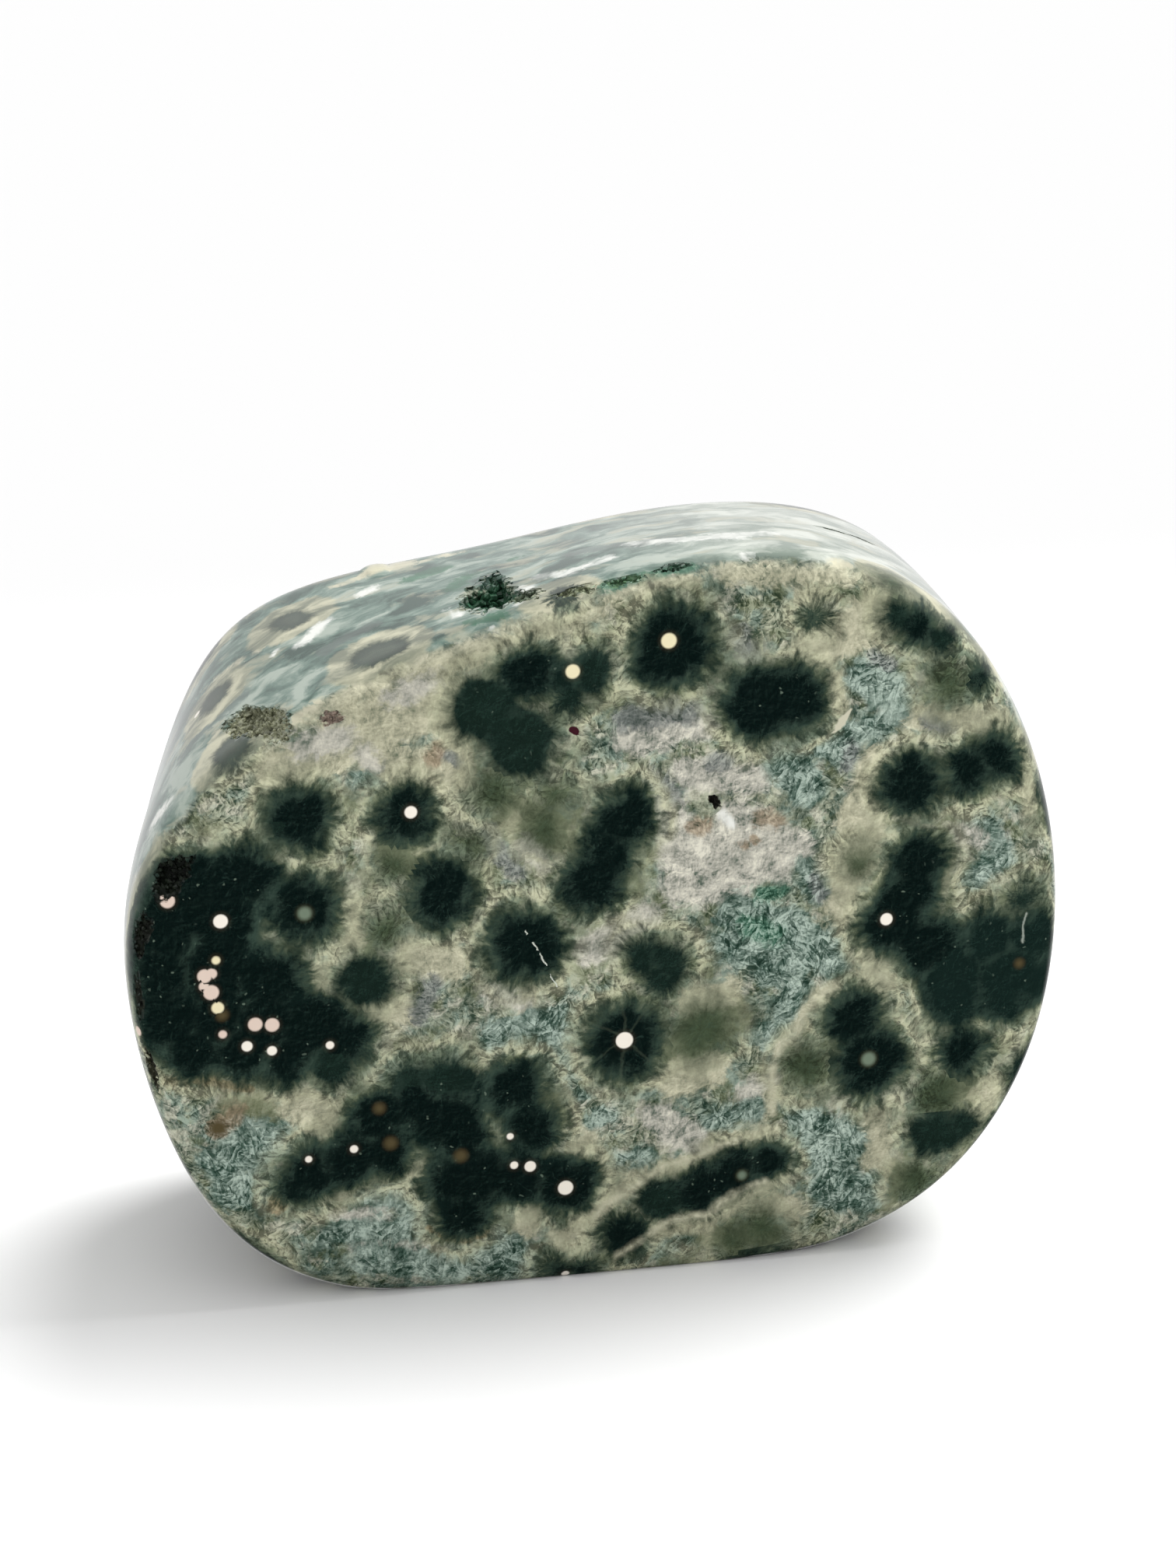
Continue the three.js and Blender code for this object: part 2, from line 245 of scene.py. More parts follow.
def fill_face(ring, pitch, side):
    """Points and triangles over a face, on an even lattice inside its edge ring."""
    edge = ring[:, [0, 2]]
    spoke = edge - FACE_CENTRE
    angle = np.arctan2(spoke[:, 1], spoke[:, 0])
    reach = np.linalg.norm(spoke, axis=1)
    order = np.argsort(angle)
    low, high = edge.min(0), edge.max(0)
    lattice = []
    for row, z in enumerate(np.arange(low[1], high[1], pitch * ROW_STEP)):
        shift = pitch / 2 * (row % 2)
        lattice += [(x, z) for x in np.arange(low[0] + shift, high[0], pitch)]
    lattice = np.array(lattice)
    away = lattice - FACE_CENTRE
    turned = np.arctan2(away[:, 1], away[:, 0])
    edge_reach = np.interp(turned, angle[order], reach[order], period=2 * math.pi)
    far = np.linalg.norm(away, axis=1)
    kept = far < edge_reach - pitch * EDGE_GAP
    lattice = lattice[kept]
    share = (far / edge_reach)[kept]
    places = [Vector(p) for p in edge] + [Vector(p) for p in lattice]
    loop = [(k, (k + 1) % AROUND) for k in range(AROUND)]
    made, _, triangles, sources, _, _ = delaunay_2d_cdt(places, loop, [], 1, 1e-5)
    heights = np.concatenate([np.full(AROUND, FACE_EDGE), FACE_EDGE + FACE_CROWN * (1 - share**2) ** 2])
    source = [s[0] for s in sources]
    points = np.array([(p[0], side * heights[s], p[1]) for p, s in zip(made, source)])
    return points, triangles, source


front_stations = edge_stations(FRONT_EDGE_RADIUS, -1)
back_stations = edge_stations(BACK_EDGE_RADIUS, 1)[::-1]
band_depths = np.linspace(front_stations[-1][0], back_stations[0][0], BAND_STEPS + 1)[1:-1]
stations = front_stations + [(depth, 0) for depth in band_depths] + back_stations
rings = [side_ring(depth, inset) for depth, inset in stations]
points = list(np.concatenate(rings))
faces = []
for r in range(len(rings) - 1):
    for k in range(AROUND):
        ahead = (k + 1) % AROUND
        near, far = r * AROUND, (r + 1) * AROUND
        faces.append((near + k, near + ahead, far + ahead, far + k))
back_start = (len(rings) - 1) * AROUND
ends = ((0, rings[0], FRONT_PITCH, -1), (back_start, rings[-1], BACK_PITCH, 1))
for ring_start, ring, pitch, side in ends:
    inner, triangles, source = fill_face(ring, pitch, side)
    place_of = {}
    for k, s in enumerate(source):
        if s < AROUND:
            place_of[k] = ring_start + s
        else:
            place_of[k] = len(points)
            points.append(inner[k])
    for triangle in triangles:
        corners = tuple(place_of[k] for k in triangle)
        faces.append(corners if side < 0 else corners[::-1])
points = np.array(points)

# A low knob that the polish left proud on the back of the top. The whole is then centred and kept inside
# the box of the solids.
KNOB_AT = np.array((-18.4, 12.6, 69.4))
KNOB_SIZE = (1.6, 2.5, 0.6)
KNOB_ABOVE = 60
knob_out = np.array((-0.18, 0, 0.98))
knob_away = points - KNOB_AT
knob_share = 1 - (knob_away[:, 0] / KNOB_SIZE[0]) ** 2 - (knob_away[:, 1] / KNOB_SIZE[1]) ** 2
knob_rise = np.where(points[:, 2] > KNOB_ABOVE, np.sqrt(np.clip(knob_share, 0, 1)), 0) * KNOB_SIZE[2]
points += knob_rise[:, None] * knob_out
points[:, 0] -= OFF_CENTRE
points = np.clip(points, np.array(cad_low) / MM, np.array(cad_high) / MM)

slab_mesh = bpy.data.meshes.new("slab")
slab_mesh.from_pydata((points * MM).tolist(), [], faces)
slab_mesh.validate()
slab = put_in_scene("slab", slab_mesh)
skin = BVHTree.FromPolygons([Vector(p) for p in points], faces)

# Hollows that the jasper grew with, left open by the polish. Each has the middle of its mouth, the way
# out, its long axis, its width, length and depth, the width of its crystals and its colour.
HOLLOWS = [
    ("vug", (-10.4, -8.2, 72.5), (-0.27, 0, 0.96), (0.2, 1, 0),
        (6.4, 12, 3.4), 0.8, (0.035, 0.105, 0.058)),
    ("vug lobe", (-8, -12.2, 73.2), (-0.27, 0, 0.96), (0.6, -0.8, 0.1),
        (3.6, 6.4, 1.3), 0.7, (0.13, 0.17, 0.11)),
    ("shoulder pocket", (-35.4, -13.6, 61.9), (-0.56, -0.12, 0.82), (0.4, -0.9, 0.1),
        (5, 10.5, 1.9), 0.42, (0.30, 0.31, 0.21)),
    ("top seam 1", (-3.4, -16.2, 74.3), (-0.28, -0.14, 0.95), (1, -0.15, 0.25),
        (1.9, 4.6, 0.9), 0.6, (0.25, 0.28, 0.18)),
    ("top seam 2", (1.4, -17, 75.4), (-0.23, -0.3, 0.93), (1, -0.15, 0.2),
        (1.5, 4.2, 0.8), 0.5, (0.10, 0.19, 0.10)),
    ("top seam 3", (6.6, -17.1, 76.5), (-0.17, -0.33, 0.93), (1, -0.1, 0.15),
        (1.4, 4, 0.8), 0.5, (0.03, 0.075, 0.045)),
    ("edge notch", (-28.2, -18.9, 63.5), (-0.24, -0.8, 0.5), (0.9, -0.3, 0.3),
        (1.5, 2.8, 0.8), 0.3, (0.26, 0.20, 0.16)),
    ("face pinhole", (10.6, -20, 52.3), (0, -1, 0), (0.5, 0, -0.8),
        (1.1, 1.7, 1), 0, (0.02, 0.02, 0.015)),
    ("left chip 1", (-44.4, -18.8, 48), (-0.5, -0.8, 0.3), (0.7, -0.2, 0.7),
        (3.4, 6, 1.1), 0.5, (0.012, 0.018, 0.011)),
    ("left chip 2", (-47.7, -18.1, 42), (-0.7, -0.7, 0.1), (-0.3, 0, -1),
        (2.6, 5, 0.9), 0.5, (0.014, 0.018, 0.012)),
    ("left chip 3", (-48.5, -17.9, 34.5), (-0.75, -0.65, 0), (0, 0, -1),
        (1.8, 6, 0.7), 0.4, (0.018, 0.022, 0.014)),
    ("left chip 4", (-47.3, -17.6, 27), (-0.8, -0.6, -0.1), (0.2, 0, -1),
        (1.6, 5, 0.6), 0.4, (0.04, 0.04, 0.022)),
    ("right seam 1", (28, -0.7, 75.2), (0.3, 0, 0.95), (1, -0.1, -0.3),
        (0.9, 3.6, 0.7), 0, (0.09, 0.13, 0.10)),
    ("right seam 2", (31.4, -0.5, 74), (0.38, 0, 0.92), (1, -0.1, -0.4),
        (0.9, 3.2, 0.7), 0, (0.09, 0.13, 0.10)),
    ("back pocket", (20.2, 20, 50), (0, 1, 0), (0.8, 0, 0.6),
        (4.6, 10, 1.8), 0.9, (0.33, 0.33, 0.25)),
]
cutters = bpy.data.collections.new("cutters")
bpy.context.scene.collection.children.link(cutters)
for number, (name, at, out, along, (width, length, depth), _, _) in enumerate(HOLLOWS):
    ball = bmesh.new()
    bmesh.ops.create_icosphere(ball, subdivisions=5 if length > 8 else 4, radius=1)
    shift = Vector((number * 7.3, number * 3.1, 0))
    for vertex in ball.verts:
        rise = 0.42 * noise.noise(vertex.co * 1.5 + shift) + 0.3 * noise.noise(vertex.co * 4 + shift)
        rise += 0.14 * noise.noise(vertex.co * 9 + shift)
        vertex.co *= 1 + rise
    z = Vector(out).normalized()
    x = Vector(along).cross(z).normalized()
    turn = Matrix((x, z.cross(x), z)).transposed().to_4x4()
    place = Matrix.Translation(Vector(at)) @ turn @ Matrix.Diagonal((width / 2, length / 2, depth, 1))
    bmesh.ops.transform(ball, matrix=Matrix.Scale(MM, 4) @ place, verts=ball.verts)
    cutter_mesh = bpy.data.meshes.new(name)
    ball.to_mesh(cutter_mesh)
    ball.free()
    cutters.objects.link(bpy.data.objects.new(name, cutter_mesh))
cut = slab.modifiers.new("hollows", "BOOLEAN")
cut.operation = "DIFFERENCE"
cut.operand_type = "COLLECTION"
cut.collection = cutters
cut.solver = "EXACT"
cut_slab = slab.evaluated_get(bpy.context.evaluated_depsgraph_get())
opened_mesh = bpy.data.meshes.new_from_object(cut_slab)
for cutter in list(cutters.objects):
    bpy.data.objects.remove(cutter)
bpy.data.collections.remove(cutters)
bpy.data.objects.remove(slab)
opened_mesh.name = "stone"
stone = put_in_scene("stone_jasper", opened_mesh)


def face_centres(mesh):
    """The middle of each face, in millimetres."""
    centres = np.zeros(len(mesh.polygons) * 3)
    mesh.polygons.foreach_get("center", centres)
    return centres.reshape(-1, 3) / MM


def vertex_places(mesh):
    """The place of each vertex, in millimetres."""
    places = np.zeros(len(mesh.vertices) * 3)
    mesh.vertices.foreach_get("co", places)
    return places.reshape(-1, 3) / MM


def hollow_of(places):
    """The hollow that each place is deepest in, and how far it is from its middle, in its own radii."""
    best = np.full(len(places), np.inf)
    number = np.zeros(len(places), int)
    for k, (_, at, out, along, (width, length, depth), _, _) in enumerate(HOLLOWS):
        z = np.array(out) / np.linalg.norm(out)
        x = np.cross(along, z)
        x /= np.linalg.norm(x)
        axes = np.stack([x / (width / 2), np.cross(z, x) / (length / 2), z / depth])
        away = np.linalg.norm((places - np.array(at)) @ axes.T, axis=1)
        number[away < best] = k
        best = np.minimum(best, away)
    return number, best


def depth_under(places, near):
    """How far each near place lies from the polished skin, and 0 for the others."""
    depth = np.zeros(len(places))
    for k in np.nonzero(near)[0]:
        depth[k] = skin.find_nearest(Vector(places[k]))[3]
    return depth


# A face is on a wall when it is near a hollow and off the skin by more than the mesh's own error.
SKIN_ERROR = 0.012
WALL_REACH = 1.7
centres = face_centres(opened_mesh)
number, away = hollow_of(centres)
wall = depth_under(centres, away < WALL_REACH) > SKIN_ERROR
crystal_widths = np.array([hollow[5] for hollow in HOLLOWS])
bed = opened_mesh.attributes.new("crystal width", "FLOAT", "FACE")
bed.data.foreach_set("value", wall * crystal_widths[number])

# Druse: small quartz points that grew on the walls of the hollows and are one with the stone. Each is a
# six-sided prism with a tip. They lean a little, each its own way, and differ in size.
SMALLEST_BED = 0.01
SMALLEST_SHARE = 0.45
LARGEST_SHARE = 1.25
MOST_PER_SQUARE_METRE = 6e6
druse = bpy.data.node_groups.new("druse", "GeometryNodeTree")
druse.is_modifier = True
druse_inputs = {"Stone": "Geometry", "Spacing": "Float", "Tilt": "Float", "Seed": "Int", "Crust": "Material"}
for name, kind in druse_inputs.items():
    druse.interface.new_socket(name, in_out="INPUT", socket_type="NodeSocket" + kind)
druse.interface.new_socket("Stone", in_out="OUTPUT", socket_type="NodeSocketGeometry")


def joined(*parts):
    node = druse.nodes.new("GeometryNodeJoinGeometry")
    for part in parts:
        druse.links.new(part, node.inputs["Geometry"])
    return node.outputs["Geometry"]


given = druse.nodes.new("NodeGroupInput").outputs
bed_width = node_in(druse, "GeometryNodeInputNamedAttribute", Name="crystal width").outputs["Attribute"]
is_bed = node_in(druse, "FunctionNodeCompare", "GREATER_THAN", A=bed_width, B=SMALLEST_BED)
scatter = node_in(
    druse,
    "GeometryNodeDistributePointsOnFaces",
    Mesh=given["Stone"],
    Selection=is_bed.outputs["Result"],
    Seed=given["Seed"],
)
scatter.distribute_method = "POISSON"
druse.links.new(given["Spacing"], scatter.inputs["Distance Min"])
scatter.inputs["Density Max"].default_value = MOST_PER_SQUARE_METRE
prism = node_in(druse, "GeometryNodeMeshCylinder", Vertices=6, Radius=0.5 * MM, Depth=MM)
tip = node_in(
    druse,
    "GeometryNodeMeshCone",
    Vertices=6,
    Radius_Top=0,
    Radius_Bottom=0.5 * MM,
    Depth=0.6 * MM,
)
raised = node_in(druse, "GeometryNodeTransform", Geometry=tip.outputs["Mesh"], Translation=(0, 0, 0.5 * MM))
crystal = joined(prism.outputs["Mesh"], raised.outputs["Geometry"])
lean_low = node_in(druse, "ShaderNodeMath", "MULTIPLY", Value=given["Tilt"])
lean_low.inputs[1].default_value = -1
lean = druse.nodes.new("FunctionNodeRandomValue")
lean.data_type = "FLOAT_VECTOR"
druse.links.new(lean_low.outputs[0], lean.inputs["Min"])
druse.links.new(given["Tilt"], lean.inputs["Max"])
leaning = node_in(
    druse,
    "FunctionNodeRotateRotation",
    Rotation=scatter.outputs["Rotation"],
    Rotate_By=lean.outputs["Value"],
)
leaning.rotation_space = "LOCAL"
growth = druse.nodes.new("FunctionNodeRandomValue")
growth.data_type = "FLOAT"
growth.inputs["Min"].default_value = SMALLEST_SHARE
growth.inputs["Max"].default_value = LARGEST_SHARE
size = node_in(druse, "ShaderNodeMath", "MULTIPLY", Value=bed_width)
druse.links.new(next(socket for socket in growth.outputs if socket.enabled), size.inputs[1])
grown = node_in(
    druse,
    "GeometryNodeInstanceOnPoints",
    Points=scatter.outputs["Points"],
    Instance=crystal,
    Rotation=leaning.outputs["Rotation"],
    Scale=size.outputs[0],
)
real = node_in(druse, "GeometryNodeRealizeInstances", Geometry=grown.outputs["Instances"])
both = joined(real.outputs["Geometry"], given["Stone"])
painted = node_in(druse, "GeometryNodeSetMaterial", Geometry=both, Material=given["Crust"])
result = druse.nodes.new("NodeGroupOutput")
druse.links.new(painted.outputs["Geometry"], result.inputs["Stone"])

jasper = bpy.data.materials.new("jasper")
crust = stone.modifiers.new("druse", "NODES")
crust.node_group = druse
druse_settings = {"Spacing": 0.42 * MM, "Tilt": 0.5, "Seed": 4, "Crust": jasper}
for item in druse.interface.items_tree:
    if item.in_out == "INPUT" and item.name in druse_settings:
        crust[item.identifier] = druse_settings[item.name]
crusted = stone.evaluated_get(bpy.context.evaluated_depsgraph_get())
stone_mesh = bpy.data.meshes.new_from_object(crusted)
stone.modifiers.remove(crust)
stone.data = stone_mesh
stone_mesh.name = "stone_jasper"

# Crystals that reached past the skin were ground off just under it.
CRYSTAL_REACH = 2.2
PROUD = 0.004
GROUND_UNDER = 0.02
places = vertex_places(stone_mesh)
number, away = hollow_of(places)
for k in np.nonzero(away < CRYSTAL_REACH)[0]:
    spot, normal, _, distance = skin.find_nearest(Vector(places[k]))
    if distance > PROUD and (Vector(places[k]) - spot).dot(normal) > 0:
        places[k] = spot - normal * GROUND_UNDER
stone_mesh.vertices.foreach_set("co", (places * MM).ravel())
stone_mesh.update()

# Orbs: balls of green fibres that grew out from points in the rock, cut through by the polish. Each
# has x, z and radius on the front face, and stands under the kind of its heart.
FRONT = -20
ORBS = {
    "black": [
        (-31.8, 53.5, 3.5), (-21.3, 53, 3.2), (-8.7, 67.2, 2.9), (5.9, 69, 4.5), (1.2, 51.2, 3.2),
        (-0.6, 47.8, 3.1), (-2.4, 44.7, 3.5), (14.9, 62.5, 4), (18.2, 62.8, 3.8), (20.6, 71.3, 1.2),
        (31.3, 52.8, 3.5), (37.4, 54, 2.9), (40.8, 54.9, 2.8), (32.3, 44.5, 3.2), (31.8, 41, 3.3),
        (29.8, 37.9, 3.9), (33.3, 35, 3.3), (38, 22.6, 3), (25.9, 27.7, 3.3), (27.7, 22.2, 4.2),
        (1.2, 27, 4.4), (-9.1, 38.2, 4.2), (-17.8, 44.6, 3.7), (-31.3, 43.9, 3.6), (-34.7, 36.7, 3.5),
        (-37.6, 48, 3.5), (-42.6, 47.6, 3.2), (-45.2, 43.2, 3.7), (-40.2, 43, 3.7),
        (-46.2, 38.4, 3.5), (-40.6, 38, 3.6), (-45.6, 33.4, 3.4), (-40.3, 33.4, 3.4),
        (-36, 31.8, 3.4), (-31, 31.2, 3.2), (-27.6, 29.6, 3.1), (-43.2, 29.6, 2.8),
        (-38.6, 28.9, 2.8), (-33.8, 28, 2.7), (38.2, 63.9, 1.7), (-8.1, 17.9, 2.8),
        (-16, 18.7, 3.3), (-13.9, 13.4, 3.4), (-10.2, 12.4, 3.2), (-15.9, 8.6, 2.7),
        (-4.8, 11, 3.4), (-24.8, 20.6, 3), (-27.3, 16.4, 3.2), (-31.8, 16, 2.7),
        (-33.6, 13.8, 1.9), (-31, 13.8, 1.8), (-23.3, 16.9, 2.9), (-21, 22, 2.6),
        (-18, 20.2, 3), (-17.4, 13, 2.7), (-10.3, 23, 3.1), (-6.2, 1.5, 1.7), (-3.4, 1.2, 1.8),
        (1.2, 4.9, 2.5), (9.8, 9.5, 2.8), (13.4, 11.2, 2.7), (17, 11.9, 2.1), (32, 69.7, 2.5),
    ],
    "sea": [
        (40.4, 35.4, 3), (45.2, 35.2, 2.8), (36.7, 30.9, 3.4), (43, 30.6, 3.6), (46.5, 30.2, 2.8),
        (37, 28, 3), (42.5, 27.6, 2.4),
    ],
    "deep": [
        (-13.2, 63.8, 3.5), (-9.3, 59.8, 3.8), (-2.2, 66.9, 2.2), (-4.8, 64.5, 2), (29.5, 71.1, 1.9),
        (34.2, 68.2, 1.8), (5.2, 8.6, 2.5), (3.3, 36.3, 2.2), (5.9, 35.4, 2.4), (4.5, 33, 1.9),
        (44.2, 39.3, 1.8), (35.3, 13.4, 3.1), (38.1, 14, 2.2), (-25.9, 35.8, 3), (-29, 26.8, 2.4),
        (-17.6, 24.8, 2.4), (-21.5, 24.6, 2), (-33.3, 53, 2),
    ],
    "olive": [
        (35.1, 63.7, 2.4), (35.1, 17.8, 2.7), (33.2, 8.1, 2.4), (20.5, 22.4, 2.8), (9.5, 27.6, 3),
        (-23.4, 41.4, 2.1), (-22.4, 47.8, 1.8), (-12.4, 55, 2.2), (-6, 53.9, 1.8),
        (-15, 49.5, 1.3), (16.2, 4.2, 2.5), (13.1, 2.9, 1.7), (-7.5, 50.5, 2), (25.8, 45, 1.7),
        (28.5, 74.2, 1.5),
    ],
}
# Ring orbs of grey chalcedony on the top and the left shoulder, x, y, z and radius.
GREY_ORBS = [
    (-22.7, -13.3, 68.5, 2.9), (-29.2, 5.3, 66.9, 2.5), (-38.1, -1, 60.5, 2.3), (-38.1, -15.4, 60, 2.5),
]
# The colour of each kind's heart, and how soft its edge is.
HEARTS = {
    "black": (0.0016, 0.0066, 0.0056, 0),
    "sea": (0.005, 0.015, 0.012, 0.15),
    "deep": (0.007, 0.018, 0.013, 0.4),
    "olive": (0.045, 0.064, 0.034, 1),
    "grey": (0.055, 0.072, 0.052, 0.3),
}
eye = camera.location / MM


def on_skin(x, z):
    """The place on the stone that hides the point x, z of the front face's plane from the camera."""
    spot = skin.ray_cast(eye, Vector((x, FRONT, z)) - eye)[0]
    return tuple(spot) if spot else (x, FRONT, z)


orbs = [(*on_skin(x, z), radius, HEARTS[heart]) for heart, group in ORBS.items() for x, z, radius in group]
orbs += [(x, y, z, radius, HEARTS["grey"]) for x, y, z, radius in GREY_ORBS]

# Cores: the small pale discs at the middle of some orbs, x, z and radius, by colour.
CORES = {
    "white": [
        (-20.7, 53.4, 0.63), (29.1, 38.2, 0.66), (1.2, 27, 0.9), (-5.05, 10.9, 0.8),
        (-8.8, 13.7, 0.6), (-10.5, 14, 0.42), (-10.9, 17.3, 0.36), (-5.1, 1, 0.42),
        (-27.2, 17.4, 0.42), (-31.9, 16.7, 0.36), (-29.4, 29.1, 0.42), (-35.3, 29, 0.5),
        (-37.8, 29.7, 0.55), (-40, 43.3, 0.72),
    ],
    "pink": [
        (-45.2, 45.9, 0.77), (-41.8, 37.6, 0.72), (-41.1, 37.8, 0.55), (-41.9, 36.5, 0.5),
        (-41.2, 35.8, 0.78), (-36.9, 32, 0.72), (-35.2, 31.8, 0.72), (-40.2, 31.2, 0.42),
        (-48.6, 32.3, 0.5),
    ],
    "cream": [
        (-4.2, 67, 0.72), (5.6, 69.6, 0.78), (-40.6, 34.1, 0.62), (-40.6, 39.2, 0.42),
    ],
    "amber": [
        (-24.5, 21.7, 0.5), (-16.1, 15.6, 0.6), (-23.4, 17.7, 0.6), (-40.2, 33.3, 0.5),
        (-41, 21, 0.8), (43.9, 32.1, 0.4),
    ],
    "green": [
        (-31.6, 43.5, 0.65), (27.6, 22.6, 0.72), (14, 10.5, 0.45),
    ],
}
CORE_COLOURS = {
    "white": (0.92, 0.86, 0.76),
    "pink": (0.74, 0.60, 0.51),
    "cream": (0.84, 0.76, 0.50),
    "amber": (0.085, 0.066, 0.03),
    "green": (0.16, 0.21, 0.15),
}
CORE_BLUR = {"white": 0.1, "pink": 0.12, "cream": 0.13, "amber": 0.45, "green": 0.3}
cores = [(*on_skin(x, z), radius, colour) for colour, group in CORES.items() for x, z, radius in group]
cores.append((-40, 0, 59, 0.5, "white"))

# The back, the foot and the right side aren't in the photo. Orbs of the same kinds are grown there at
# random, no nearer to each other than a share of their two radii.
MOST_ORBS = 300
CROWDING = 0.78
TURNED_AWAY = -0.12
CLEAR_OF_HOLLOWS = 1.6
GROWN_RADII = (1.6, 4.3)
GROWN_CORE_RADII = (0.35, 0.85)
CORE_SHARE = 0.3
GIVE_UP_SHARE = 0.01
random = np.random.default_rng(11)
view_from = np.array(camera.location) / MM
normals = np.zeros(len(stone_mesh.vertices) * 3)
stone_mesh.vertices.foreach_get("normal", normals)
normals = normals.reshape(-1, 3)
to_camera = view_from - places
to_camera /= np.linalg.norm(to_camera, axis=1)[:, None]
hidden = np.nonzero(((normals * to_camera).sum(1) < TURNED_AWAY) & (away > CLEAR_OF_HOLLOWS))[0]
placed = np.array([orb[:4] for orb in orbs])
while len(orbs) < MOST_ORBS and len(hidden):
    spot = places[random.choice(hidden)]
    radius = random.uniform(*GROWN_RADII)
    near = np.linalg.norm(placed[:, :3] - spot, axis=1)
    if np.min(near - CROWDING * (placed[:, 3] + radius)) < 0:
        if random.random() < GIVE_UP_SHARE:
            break
        continue
    heart = random.choice(["black", "deep", "olive"], p=[0.62, 0.2, 0.18])
    orbs.append((*spot, radius, HEARTS[heart]))
    placed = np.vstack([placed, [*spot, radius]])
    if random.random() < CORE_SHARE:
        core_size = random.uniform(*GROWN_CORE_RADII)
        cores.append((*spot, core_size, random.choice(["white", "pink", "cream", "amber"])))

# Each face takes the place, radius and heart of the orb that it is deepest in, the next orb's place
# and radius, and the nearest core. Exact distances to them are worked out in the material.
centres = face_centres(stone_mesh)


def two_deepest(balls):
    """For each face, the numbers of the two balls (x, y, z and radius) that it is deepest in."""
    nearest = np.full((len(centres), 2), np.inf)
    which = np.zeros((len(centres), 2), int)
    for k, ball in enumerate(balls):
        depth = np.linalg.norm(centres - ball[:3], axis=1) - ball[3]
        first = depth < nearest[:, 0]
        second = ~first & (depth < nearest[:, 1])
        nearest[first, 1] = nearest[first, 0]
        which[first, 1] = which[first, 0]
        nearest[first, 0] = depth[first]
        which[first, 0] = k
        nearest[second, 1] = depth[second]
        which[second, 1] = k
    return which[:, 0], which[:, 1]


def face_attribute(name, kind, values):
    layer = stone_mesh.attributes.new(name, kind, "FACE")
    field = {"FLOAT": "value", "FLOAT_VECTOR": "vector", "FLOAT_COLOR": "color"}[kind]
    layer.data.foreach_set(field, np.ascontiguousarray(values, np.float32).ravel())


orb, next_orb = two_deepest(placed)
orb_heart = np.array([grown_orb[4] for grown_orb in orbs])
face_attribute("orb place", "FLOAT_VECTOR", placed[orb, :3])
face_attribute("orb radius", "FLOAT", placed[orb, 3])
face_attribute("orb heart", "FLOAT_COLOR", orb_heart[orb])
face_attribute("next orb place", "FLOAT_VECTOR", placed[next_orb, :3])
face_attribute("next orb radius", "FLOAT", placed[next_orb, 3])
core_balls = np.array([core[:4] for core in cores])
core_colour = np.array([(*CORE_COLOURS[core[4]], CORE_BLUR[core[4]]) for core in cores])
core, _ = two_deepest(core_balls)
face_attribute("core place", "FLOAT_VECTOR", core_balls[core, :3])
face_attribute("core radius", "FLOAT", core_balls[core, 3])
face_attribute("core colour", "FLOAT_COLOR", core_colour[core])
# The walls of the hollows take their hollow's colour, and how far down they are as a share of its depth.
number, away = hollow_of(centres)
full_depth = np.array([hollow[4][2] for hollow in HOLLOWS])[number]
wall_depth = depth_under(centres, away < CRYSTAL_REACH)
wall_colour = np.array([(*hollow[6], 1) for hollow in HOLLOWS])[number]
wall_colour[:, 3] = np.where(wall_depth > SKIN_ERROR, wall_depth / full_depth, 0)
face_attribute("wall colour", "FLOAT_COLOR", wall_colour)

